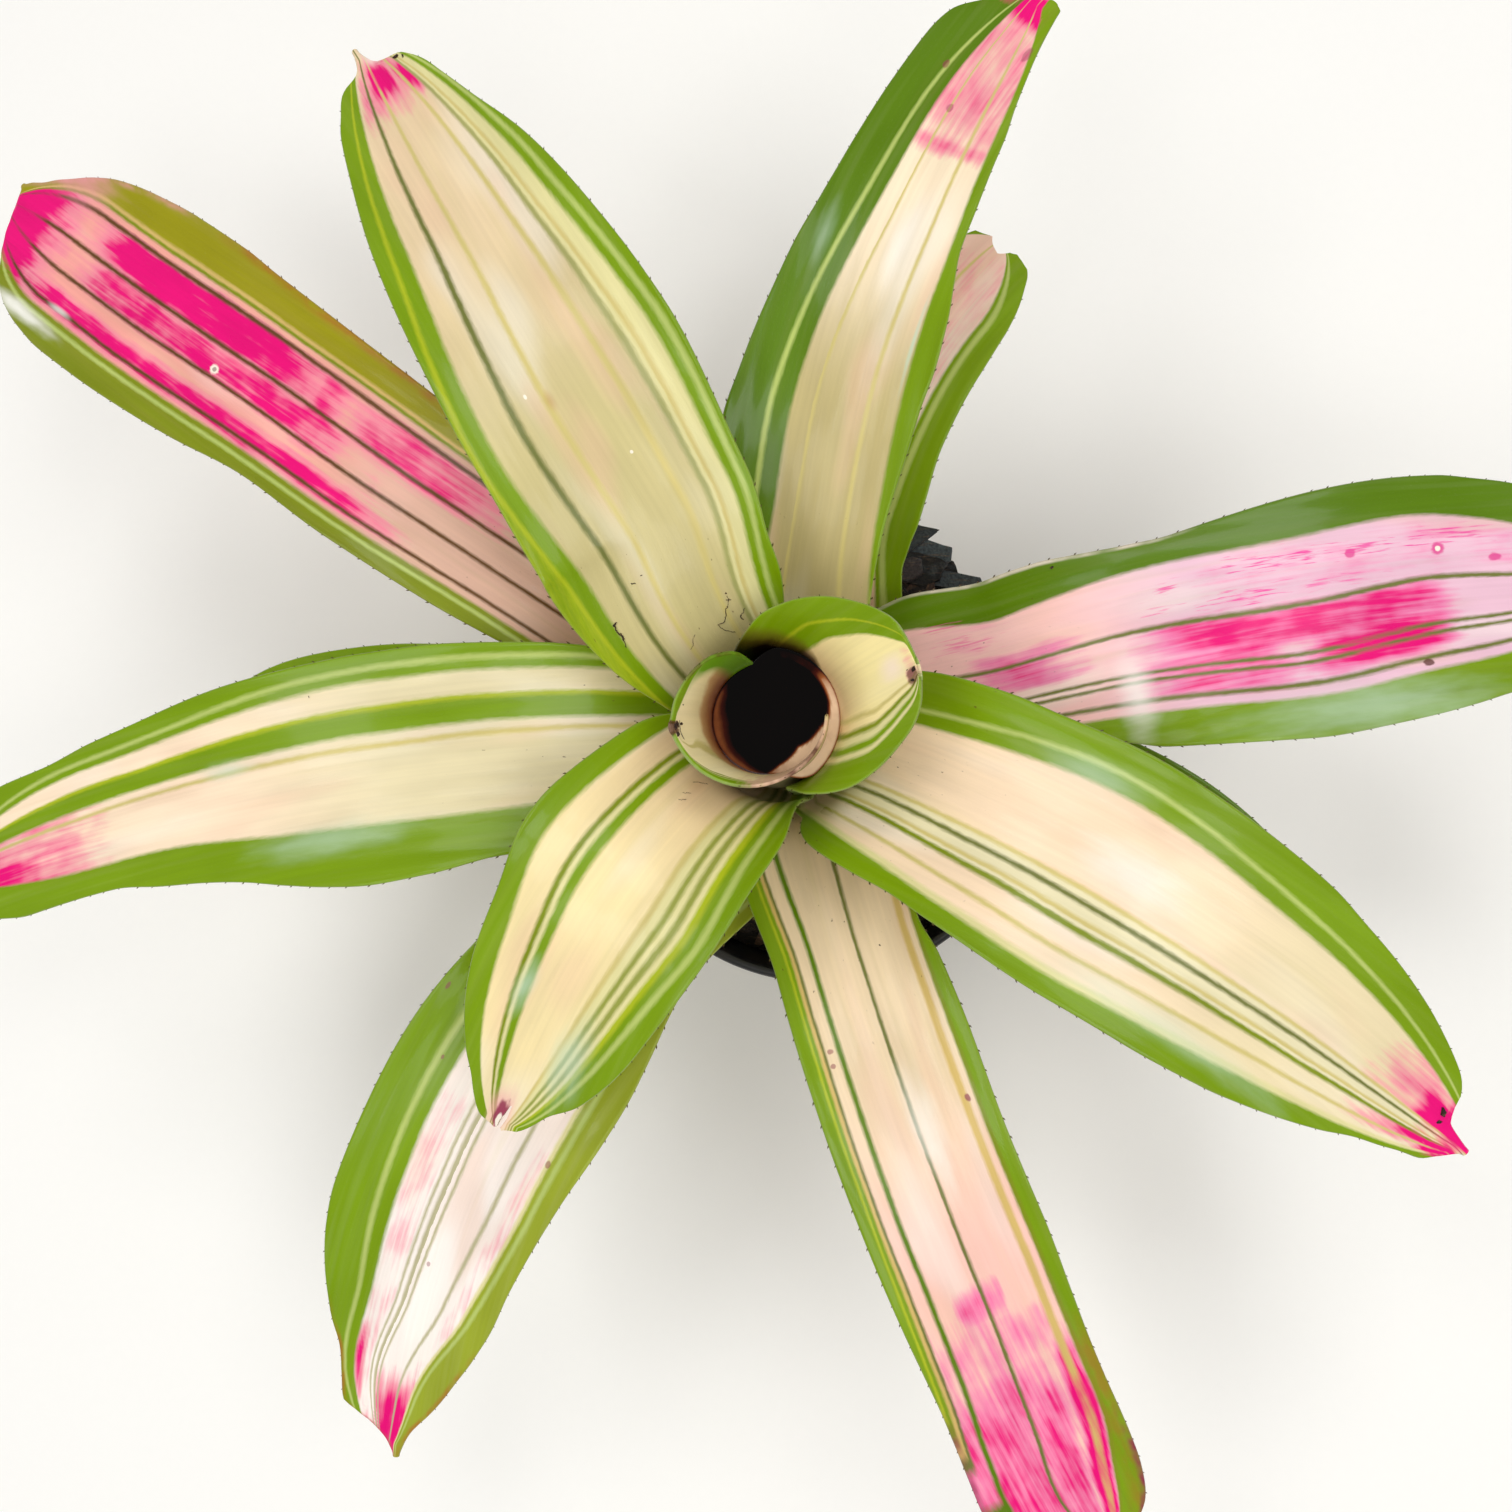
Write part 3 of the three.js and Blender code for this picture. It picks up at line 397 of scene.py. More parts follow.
           width=34.5, neck=1, broad=0.4, taper=0.8, channel=22, wave=0.8, rose="#f77cae",
         outline=[(0.2, -1, 1), (0.27, -1, 0.95), (0.32, -1, 1.06), (0.4, -1, 1.11), (0.5, -1.02, 1.09),
           (0.6, -1.04, 1.1), (0.7, -1.04, 1.04), (0.75, -1.05, 1), (0.8, -1.09, 0.97), (0.85, -1.15, 0.95),
           (0.9, -1.2, 0.9), (0.93, -1.18, 0.83), (0.96, -1.06, 0.7), (0.985, -0.74, 0.4), (1, -0.4, 0.05)],
         ground=("#ecd4b0", "#fccabc", 0.4, 0.64),
         bands=[(0.93, "green"), (0.88, "olive"), (0.79, None), (0.69, "tan"), (0.07, None), (0.02, "dark"),
           (-0.545, None), (-0.615, "deep"), (-0.77, None), (-0.8, "dark"), (-0.85, "tan"), (-0.9, "green"),
           (-0.92, "lime"), (-1.1, "green")],
         drift=[(0.35, 0.04, 0.95), (0.6, 0, 1), (0.75, -0.09, 1.02), (0.84, -0.2, 1.1), (0.93, -0.4, 1.2)],
         flush=[(0.655, 0.69, -0.3, 0.28, 0.58), (0.69, 0.76, -1, 0.7, 0.42), (0.765, 0.99, -0.98, 0.5, 0.66),
           (0.76, 1, 0.62, 0.85, 1)],
         marks=[(97.8, 3, 18, 5, "shine", 0.5), (76.8, -10.9, 0.7, 0.9, "wine", 0.6),
           (79.8, -11.2, 0.6, 0.7, "wine", 0.6), (94.6, 13.6, 1.1, 0.8, "wine", 0.8)],
         edges=[(0.78, 1, -1, 1, "wine", 0.7), (0.74, 1, 1, 3.4, "ember", 0.42), (0.86, 1, 1, 1, "wine", 1)]),
    # leaf_09
    dict(base=146, azimuth=147, sweep=-2, wrap=60, shoulder=(29, 112), crown=(96, 134), tip=(246.5, 110),
           width=43, neck=0.8, broad=0.75, taper=0.88, channel=20, wave=0.8,
         outline=[(0.2, -1, 0.95), (0.35, -1.08, 1.05), (0.45, -1.13, 1.03), (0.56, -1.15, 0.94),
           (0.65, -1.17, 1.03), (0.7, -1.2, 1.07), (0.78, -1.19, 1.11), (0.84, -1.12, 1.12), (0.89, -1, 1.06),
           (0.92, -0.87, 0.97), (0.945, -0.72, 0.8), (0.965, -0.58, 0.55), (0.98, -0.45, 0.28), (0.99, -0.38, 0),
           (1, -0.3, -0.24)],
         ground=("#dcb29e", "#f6a79c", 0.36, 0.6),
         bands=[(0.81, "oliveGreen"), (0.775, "light"), (0.7, "oliveGreen"), (0.615, None), (0.58, "maroon"),
           (0.23, None), (0.19, "maroon"), (-0.15, None), (-0.195, "maroon"), (-0.59, None), (-0.64, "maroon"),
           (-0.72, None), (-0.76, "oliveGreen"), (-0.8, "tan"), (-1.1, "oliveYellow")],
         drift=[(0.4, 0.04, 1.04), (0.6, 0, 1), (0.8, 0.04, 1)],
         flush=[(0.34, 0.5, -0.6, -0.12, 0.7), (0.4, 0.5, -0.1, 0.6, 0.2), (0.512, 0.55, -0.6, 0.25, 0.72),
           (0.56, 0.86, -0.6, -0.2, 0.93), (0.42, 0.93, 0.42, 0.64, 0.84), (0.5, 0.86, -0.15, 0.2, 0.76),
           (0.93, 1.05, -0.75, 0.8, 1.1)],
         marks=[(167.1, 2.4, 1.7, 1.5, "white", 0.95), (167.1, 2.4, 0.8, 0.7, "bruise", 0.6),
           (228, 19.5, 22, 3, "shine", 0.9), (217, 13.5, 6, 1.2, "shine", 0.6), (240, -17, 22, 9, "rosy", 0.75)],
         edges=[(0.42, 0.72, -1, 1.6, "ember", 0.5), (0.8, 0.98, -1, 1.2, "rosy", 0.6)]),
    # leaf_10
    dict(base=17, azimuth=14, sweep=-4, wrap=60, shoulder=(30, 108), crown=(92, 128), tip=(186, 112), width=53,
           neck=0.62, broad=0.75, taper=0.74, channel=20, wave=1, rose="#f27ab0",
         outline=[(0.14, -1, 1), (0.22, -1.05, 1.28), (0.28, -1.05, 1.34), (0.35, -1.07, 1.27),
           (0.4, -1.1, 1.16), (0.45, -1.19, 1.06), (0.5, -1.2, 1), (0.6, -1.16, 1), (0.7, -1.05, 0.99),
           (0.8, -0.94, 0.98), (0.85, -0.87, 0.93), (0.89, -0.82, 0.87), (0.93, -0.72, 0.76), (0.96, -0.55, 0.6),
           (0.985, -0.3, 0.34), (1, -0.1, 0.1)],
         ground=("#fbc8c4", "#ecc0d2", 0.34, 0.52),
         bands=[(0.66, "deep"), (0.08, None), (0.035, "dark"), (-0.365, None), (-0.395, "dark"),
           (-0.445, None), (-0.475, "dark"), (-0.65, None), (-0.69, "dark"), (-0.79, None), (-1.1, "green")],
         drift=[(0.4, 0.076, 1.1), (0.6, 0, 1), (0.8, 0.09, 0.89)],
         flush=[(0.2, 0.3, 0.3, 0.9, 0.2), (0.25, 0.36, -0.25, 0.2, 0.55), (0.46, 0.78, -0.24, 0.03, 0.8),
           (0.46, 0.6, -0.65, -0.25, 0.66), (0.64, 0.78, -0.58, -0.28, 0.95), (0.5, 0.95, 0.12, 0.62, 0.22),
           (0.95, 1, -1, 1, 0.9)],
         marks=[(131.7, 11, 1.5, 1.2, "hotPink", 0.8), (151.4, 10, 1.8, 1.5, "hotPink", 0.8),
           (151.4, 10, 0.8, 0.7, "white", 1), (164.2, 7.3, 1.9, 1.1, "hotPink", 0.8),
           (144.8, -14.8, 1.4, 1.1, "bruise", 0.85), (81.5, -11.5, 5.5, 15, "shine", 0.6),
           (130, -23, 42, 8, "bloom", 0.5), (92, 10.4, 6, 2.4, "dash", 0.8), (91, 5.7, 5, 1.6, "dash", 0.7),
           (116, 12, 15, 3.2, "dash", 0.9), (134, 12, 18, 2.6, "dash", 0.8), (155, 13, 16, 2.6, "dash", 0.75),
           (128, 5.7, 13, 2, "dash", 0.6), (108, 5.3, 11, 3, "dash", 0.9), (47, 10, 12, 3.6, "dash", 0.5),
           (43, 15, 7, 2, "dash", 0.55)],
         edges=[(0.14, 0.5, 1, 0.5, "glow", 0.6)]),
    # leaf_11
    dict(base=227, azimuth=226.5, sweep=13.5, wrap=60, shoulder=(31, 104), crown=(88, 122), tip=(196, 99),
           width=51, neck=0.84, broad=0.5, taper=0.55, channel=22, wave=1,
         outline=[(0.3, -0.95, 1), (0.4, -0.93, 1.11), (0.45, -0.95, 1.14), (0.5, -0.97, 1.12),
           (0.6, -0.99, 1.03), (0.7, -0.98, 0.92), (0.75, -0.94, 0.86), (0.8, -0.86, 0.81), (0.85, -0.73, 0.7),
           (0.89, -0.57, 0.57), (0.92, -0.51, 0.46), (0.945, -0.46, 0.34), (0.955, -0.32, 0.28),
           (0.97, -0.11, 0.2), (0.985, 0.01, 0.15), (1, 0.07, 0.12)],
         ground=("#fbe6da", "#fdf2ea", 0.4, 0.7),
         bands=[(0.875, "oliveLight"), (0.83, "light"), (0.775, "oliveLight"), (0.745, "pale"), (0.49, None),
           (0.46, "faintGrey"), (0.065, None), (0.045, "faintGrey"), (0, None), (-0.045, "faintGrey"),
           (-0.1, None), (-0.115, "faintGrey"), (-0.435, None), (-0.585, "green"), (-0.635, "light"),
           (-1.1, "green")],
         drift=[(0.62, 0, 1), (0.8, -0.07, 0.955), (0.93, -0.35, 0.95)],
         flush=[(0.55, 0.95, -0.43, -0.15, 0.27), (0.55, 0.95, 0.6, 0.75, 0.27), (0.92, 1, 0, 0.75, 0.95),
           (0.86, 0.93, -0.42, -0.3, 0.85), (0.96, 1, -1, 1, 0.6)],
         marks=[(92.5, -21.8, 1, 0.5, "wine", 0.6), (106.3, -14.5, 0.7, 0.5, "wine", 0.6),
           (114, 19.5, 1.2, 0.8, "wine", 0.6), (152, 1.6, 0.7, 0.5, "wine", 0.5)],
         edges=[(0.86, 1, 0, 0.9, "ember", 0.6)]),
    # leaf_12
    dict(base=350, azimuth=350, sweep=-19, wrap=60, shoulder=(32, 100), crown=(78, 116), tip=(140, 104),
           width=37, neck=0.9, broad=0.4, taper=0.6, channel=20, wave=0.8,
         ground=("#d8c890", "#e4d6a0", 0.3, 0.7),
         bands=[(0.62, "deep"), (0.58, "light"), (0.4, "deep"), (0.1, None), (0.06, "dark"), (-0.4, None),
           (-0.5, "green"), (-0.55, "light"), (-1.1, "deep")],
         flush=[(0.93, 1, -1, 1, 0.8)]),
    # leaf_13
    dict(base=176, azimuth=176, sweep=1, wrap=60, shoulder=(33, 97), crown=(80, 112), tip=(150, 98), width=36,
           neck=0.9, broad=0.4, taper=0.6, channel=20, wave=0.8,
         ground=("#d8c890", "#e8d8a8", 0.3, 0.7),
         bands=[(0.66, "green"), (0.2, None), (0.16, "dark"), (-0.35, None), (-0.42, "green"), (-0.6, None),
           (-0.72, "green"), (-0.77, "light"), (-1.1, "green")],
         flush=[(0.9, 1, -1, 1, 0.8)]),
    # leaf_14
    dict(base=79, azimuth=79, sweep=-12, wrap=60, shoulder=(34, 95), crown=(78, 112), tip=(131, 104), width=36,
           neck=0.9, broad=0.4, taper=0.84, channel=20, wave=0.8,
         outline=[(0.3, -0.9, 1), (0.36, -0.93, 1), (0.4, -1.02, 1), (0.45, -1.08, 1), (0.5, -1.06, 1),
           (0.6, -1, 1), (0.75, -0.99, 0.95), (0.85, -0.93, 0.75), (0.9, -0.86, 0.6), (0.93, -0.79, 0.5),
           (0.96, -0.69, 0.42), (0.98, -0.61, 0.36), (0.995, -0.5, 0.28), (1, -0.43, 0.22)],
         end=[(-1, -1.2), (-0.6, 0), (-0.25, -0.8), (0.05, -3), (0.35, -2), (0.6, -0.6), (1, -2.2)],
         ground=("#ecc8a8", "#f2ccb8", 0.3, 0.7),
         bands=[(0.7, "green"), (0.1, None), (0.06, "faint"), (-0.57, None), (-0.63, "green"),
           (-0.71, "light"), (-1.1, "green")],
         flush=[(0.6, 1, -0.55, 0.4, 0.25)]),
]

# Tones of the stripes, as the eye sees them in daylight.
stripeTones = {
    "green": "#799a06", "deep": "#597c05", "lime": "#a9b71c", "light": "#b4c46a", "pale": "#e0d89c",
    "olive": "#7f8e18", "ivory": "#e9dfb6", "greyGreen": "#939a44", "dark": "#717638", "grey": "#a6a565",
    "faint": "#d2c27c", "faintGrey": "#bcb690", "tan": "#d3b56b", "maroon": "#63421f", "oliveGreen": "#7f8c14",
    "oliveYellow": "#9a950e", "oliveLight": "#98a52c",
}

# Tones of the single marks; the pale bluish-green one is painted sheen and the near-white one a painted
# highlight.
markTones = {
    "leafGreen": "#6c9a1c", "rosy": "#ee9aa4", "ember": "#b0502c", "bloom": "#c3dcc4", "shine": "#fffdf6",
    "white": "#fbf3e2", "glow": "#fbe4da", "rust": "#b0743a", "bruise": "#5a2c20", "flesh": "#dcb496",
    "wine": "#8c2a4a", "hotPink": "#e0308c", "dash": "#f0309c",
}


leafMesh = {
    "rowSpacing": 1.15, "endRows": 40, "endLength": 30,
    "columns": 42, "edgeCrowding": 0.8,  # more columns towards the margins
    "edgeRound": 0.22,  # how far the margin's middle stands out
    "pleat": 0.07, "pleatWidth": 4.6,  # faint ridges along the blade
    "dimple": 0.3,  # slow unevenness of the blade
    "spineRange": (0.17, 0.95), "spineSpacing": 4.7, "spineShift": 0.9,  # they stray this far along the margin
    "spineLength": (0.8, 0.35), "spineChange": (0.75, 1.15),  # from base to tip, and from one to the next
    "spineRadius": 0.3, "spineSides": 5,
    "spineLean": 0.75,  # spines lean towards the tip
    # for each cup leaf, how high above the water its tea-brown stain and painted shade reach, in millimetres, by
    # bearing in degrees
    "stainAndShadeReach": [[(0, 2.5), (60, 8), (100, 17), (125, 15), (150, 13), (200, 13), (230, 12), (255, 7),
                    (300, 2.5), (360, 2.5)],
                   [(0, 0), (38, 0), (60, 6), (95, 8), (130, 13), (200, 5), (290, 0), (360, 0)]],
}


def stripePlace(leaf, share, across, place):
    # where a point lies among the leaf's stripes, which run together at the tip and drift a little before it
    if "outline" in leaf and not leaf.get("cup"):
        across = np.clip(place / np.maximum(endShare(leaf, share), 0.2), -1.05, 1.05)
    shares, shifts, stretches = zip(*leaf.get("drift", [(0, 0, 1), (1, 0, 1)]))
    return (across - smoothLine(shares, shifts, share)) / smoothLine(shares, stretches, share)


def flushAmount(leaf, share, place):
    # how pink a point is, before the streaks
    amount = np.zeros_like(place)
    for start, stop, right, left, strength in leaf.get("flush", []):
        fade = min(0.07, 0.7 * (stop - start))  # short bands end more sharply
        along = ease(share, start - fade, start + 0.7 * fade) * (1 - ease(share, stop - 0.7 * fade, stop + fade))
        over = ease(place, right - 0.12, right + 0.06) * (1 - ease(place, left - 0.06, left + 0.12))
        amount = np.maximum(amount, strength * along * over)
    return amount


def stainAndShadeAmount(points, order):
    # how deep the tea-brown stain and the painted shade are on the walls of the cup; both fade upwards from the
    # water
    height = points[..., 2] - plant["waterLevel"]
    bearing = np.degrees(np.arctan2(points[..., 1], points[..., 0])) % 360
    places, reaches = zip(*leafMesh["stainAndShadeReach"][order])
    reach = np.interp(bearing, places, reaches)
    return np.clip(1 - height / np.maximum(reach, 0.1), 0, 1) * np.clip(reach / 3, 0, 1)


def leafGrid(leaf, length):
    # shares along and places across of the mesh, with the end cut to its own outline
    endStart = leaf["taper"] if leaf.get("cup") else 1 - leafMesh["endLength"] / length
    body = np.linspace(0, endStart, int(endStart * length / leafMesh["rowSpacing"]))[:-1]
    closing = endStart + (1 - endStart) * np.sin(np.linspace(0, math.pi / 2, leafMesh["endRows"]))
    crowding = math.pi / 2 * leafMesh["edgeCrowding"]
    columns = np.sin(np.linspace(-crowding, crowding, leafMesh["columns"] + 1)) / math.sin(crowding)
    share, across = np.meshgrid(np.concatenate([body, closing]), columns, indexing="ij")
    if "end" in leaf:
        places, cuts = zip(*leaf["end"])
        reach = np.clip((share - endStart) / (1 - endStart), 0, 1)
        share = share + reach * np.interp(across, places, cuts) / length
    return share, across


def unevenness(leaf, order, acrossMm, alongMm, radius):
    # low relief of the blade, none where the sheaths lie close together
    if leaf.get("cup"):
        return np.zeros_like(radius)
    sheath = sheathRadius(order) + 8
    opened = ease(radius, sheath, sheath + plant["openingLength"])
    turns = 2 * math.pi * acrossMm / leafMesh["pleatWidth"] + 1.5 * np.sin(alongMm / 31 + order)
    # two slow waves of unlike length, shifted from leaf to leaf so that no two are alike
    slow = np.sin(alongMm / 13 + 1.7 * order) * np.sin(acrossMm / 6.5 + 0.9 * order)
    slower = np.sin(alongMm / 23 + 0.6 * order + 0.13 * acrossMm)
    return opened * (leafMesh["pleat"] * np.sin(turns) + leafMesh["dimple"] * (slow + slower) / 2)


def leafSpines(order, points, share):
    # corners, faces and values of the hooked spines on both margins, each a curved cone set into the edge
    chance = np.random.default_rng(40 + order)
    sides, shift = leafMesh["spineSides"], leafMesh["spineShift"]
    turns = np.arange(sides) * 2 * math.pi / sides
    corners, faces, tips, shares, margins = [], [], [], [], []
    for column, inner in ((0, 1), (-1, -2)):
        line, inside, reach = points[:, column], points[:, inner], share[:, column]
        run = np.concatenate([[0], np.cumsum(np.linalg.norm(np.diff(line, axis=0), axis=1))])

        def spot(rail, where):
            return np.array([np.interp(where, run, rail[:, k]) for k in range(3)])

        for where in np.arange(*np.interp(leafMesh["spineRange"], reach, run), leafMesh["spineSpacing"]):
            where += chance.uniform(-shift, shift)
            at = spot(line, where)
            out, on = unit(at - spot(inside, where)), unit(spot(line, where + 1) - at)
            along = np.interp(where, run, reach)
            size = blend(*leafMesh["spineLength"], along) * chance.uniform(*leafMesh["spineChange"])
            lean = unit(out + leafMesh["spineLean"] * on)
            first = unit(np.cross(out, on))
            second = 1.5 * unit(np.cross(lean, first))
            spokes = np.outer(np.cos(turns), first) + np.outer(np.sin(turns), second)
            spokes *= leafMesh["spineRadius"] * size
            base = sum(map(len, corners))
            corners.append(np.vstack([at - 0.3 * lean + spokes, at + (0.2 + 0.5 * size) * lean + 0.55 * spokes,
                                      at + (0.2 + 0.85 * size) * lean + 0.4 * size * on]))
            for i in range(sides):
                j = (i + 1) % sides
                faces += [(base + i, base + j, base + sides + j, base + sides + i),
                          (base + sides + i, base + sides + j, base + 2 * sides)]
            faces.append(tuple(base + i for i in reversed(range(sides))))
            tips += [0.25] * sides + [0.8] * sides + [1]
            shares += [along] * (2 * sides + 1)
            margins += [-1 if column == 0 else 1] * (2 * sides + 1)
    return np.vstack(corners), faces, np.array(tips), np.array(shares), np.array(margins)


def buildLeaf(leaf, order):
    # one leaf: two faces with a round margin, its end cut to shape, and its spines
    length = leafLength(order)
    share, across = leafGrid(leaf, length)
    points, half, place = leafSurface(leaf, order, share, across)
    alongMm, acrossMm = share * length, place * half
    normals = unit(np.cross(np.gradient(points, axis=0), np.gradient(points, axis=1)))
    radius = np.linalg.norm(points[..., :2], axis=-1)
    points = points + normals * unevenness(leaf, order, acrossMm, alongMm, radius)[..., None]
    toMargin = half * np.minimum(place - place[:, :1], place[:, -1:] - place)
    thickness = blend(plant["thickness"], plant["edgeThickness"], across ** 2)[..., None]
    rightOut, leftOut = (leafMesh["edgeRound"] * unit(points[:, [outer]] - points[:, [inner]])
                         for outer, inner in ((0, 1), (-1, -2)))
    # one ring of points round each cross-section: over the top to the left margin, and back below
    ring = np.concatenate([points + normals * thickness / 2, points[:, -1:] + leftOut,
                           (points - normals * thickness / 2)[:, ::-1], points[:, :1] + rightOut], axis=1)
    rows, count = ring.shape[:2]
    columns = share.shape[1]
    index = np.arange(rows * count).reshape(rows, count)
    turned = np.roll(index, -1, axis=1)
    faces = np.stack([index[:-1], index[1:], turned[1:], turned[:-1]], axis=-1).reshape(-1, 4).tolist()
    for row in (0, rows - 1):  # both ends are closed between the top and the underside
        upper, lower = index[row, :columns], index[row, columns + 1:2 * columns + 1][::-1]
        strip = [[index[row, -1], upper[0], lower[0]], [upper[-1], index[row, columns], lower[-1]]]
        strip += [[upper[i], upper[i + 1], lower[i + 1], lower[i]] for i in range(columns - 1)]
        faces += [face if row else face[::-1] for face in strip]

    def wrapRound(values):
        return np.concatenate([values, values[:, -1:], values[:, ::-1], values[:, :1]], axis=1).ravel()

    stripes = stripePlace(leaf, share, across, place)
    # tea-brown stain and painted shade on the cup walls
    stainAndShade = stainAndShadeAmount(points, order) if leaf.get("cup") else np.zeros_like(share)
    edge = np.full((rows, 1), 0.5)
    below = np.concatenate([np.zeros_like(share), edge, np.ones_like(share), edge], axis=1).ravel()
    spines, spineFaces, tips, spineShares, margins = leafSpines(order, points, share)
    offset = rows * count
    faces += [tuple(offset + i for i in face) for face in spineFaces]
    none = np.zeros_like(tips)
    values = {
        "stripePlace": np.concatenate([wrapRound(stripes), margins]),
        "pink": np.concatenate([wrapRound(flushAmount(leaf, share, stripes)), none]),
        "alongShare": np.concatenate([wrapRound(share), spineShares]),
        "stainAndShade": np.concatenate([wrapRound(stainAndShade), none]),
        "spineTip": np.concatenate([np.zeros(offset), tips]),
        "underside": np.concatenate([below, none + 0.5]),
        "leafPlace": np.stack([np.concatenate([wrapRound(alongMm), spineShares * length]),
                               np.concatenate([wrapRound(acrossMm), margins * 20]),
                               np.concatenate([wrapRound(toMargin), none])], axis=-1),
    }
    return np.vstack([ring.reshape(-1, 3), spines]) + middle, faces, values


leafFinish = {
    "bandSoftness": 0.022,  # half the blur at a stripe's edge, as a share of the half width
    "waver": 0.022,  # how far the stripes waver, the same
    "fuzz": 0.012,  # how far their edges are frayed, the same
    "veinSpacing": 0.9,  # parallel veins lie 0.4 to 0.6 mm apart; drawn a little coarser so that they show
    "scurfSize": 0.4,  # waxy scales of 0.1 mm, drawn coarser too
    "streakLength": 20, "streakWidth": 0.9,  # pink cells lie in streaks between the veins
    "patchSize": 9,
    # tone, size and strength of slow clouds in the pale flesh
    "clouds": [("coolWhite", 30, 0.4), ("blush", 22, 0.35)],
    "markFeather": 0.4,  # how much of a mark is its soft edge
    "softMarks": ("bloom", "shine", "rust", "glow", "rosy", "dash"),  # these fade all the way
    "rose": "#f58aa2", "magenta": "#ec0078", "crimson": "#a80a4c", "spineBrown": "#43210f", "silver": "#bfc49a",
    "veinYellow": "#c4b878", "stainAndShade": "#5b3a1a", "coolWhite": "#f3efe4", "blush": "#edbfa4",
    "roughness": (0.26, 0.38), "underRoughness": 0.52,
}

# Tea-brown stain and painted shade of the two cup leaves, from its upper edge down to the water: place, tone,
# cover.
stainAndShadeTones = [
    [(0.12, "#c79560", 0.0), (0.3, "#c08850", 0.75), (0.65, "#9a5a30", 0.92), (1.0, "#6a3014", 1.0)],
    [(0.15, "#7a6a1e", 0.0), (0.45, "#67501a", 0.6), (0.75, "#3a1a0a", 0.9), (1.0, "#0c0402", 1.0)],
]


def halfRamp(add, place, bands, sign):
    # colour and cover of the stripes on one half of a leaf: place runs from the midrib (0) to the margin (1)
    spans = []
    for (stop, tone), start in zip(bands, [1.1] + [band[0] for band in bands]):
        low, high = sorted((sign * start, sign * stop))
        if min(high, 1) > max(low, 0):
            spans.append((max(low, 0), min(high, 1), tone))
    spans.sort()
    stops = []
    for k, (low, high, tone) in enumerate(spans):
        below = spans[k - 1][2] if k else spans[k + 1][2]
        above = spans[k + 1][2] if k < len(spans) - 1 else below
        soft = min(leafFinish["bandSoftness"], 0.3 * (high - low))
        cover = 1.0 if tone else 0.0
        stops.append((low + soft if k else 0.0, fromHex(stripeTones[tone or below or above], cover)))
        stops.append((high - soft, fromHex(stripeTones[tone or above or below], cover)))
    return fillRamp(add("ValToRGB", [place]), stops)


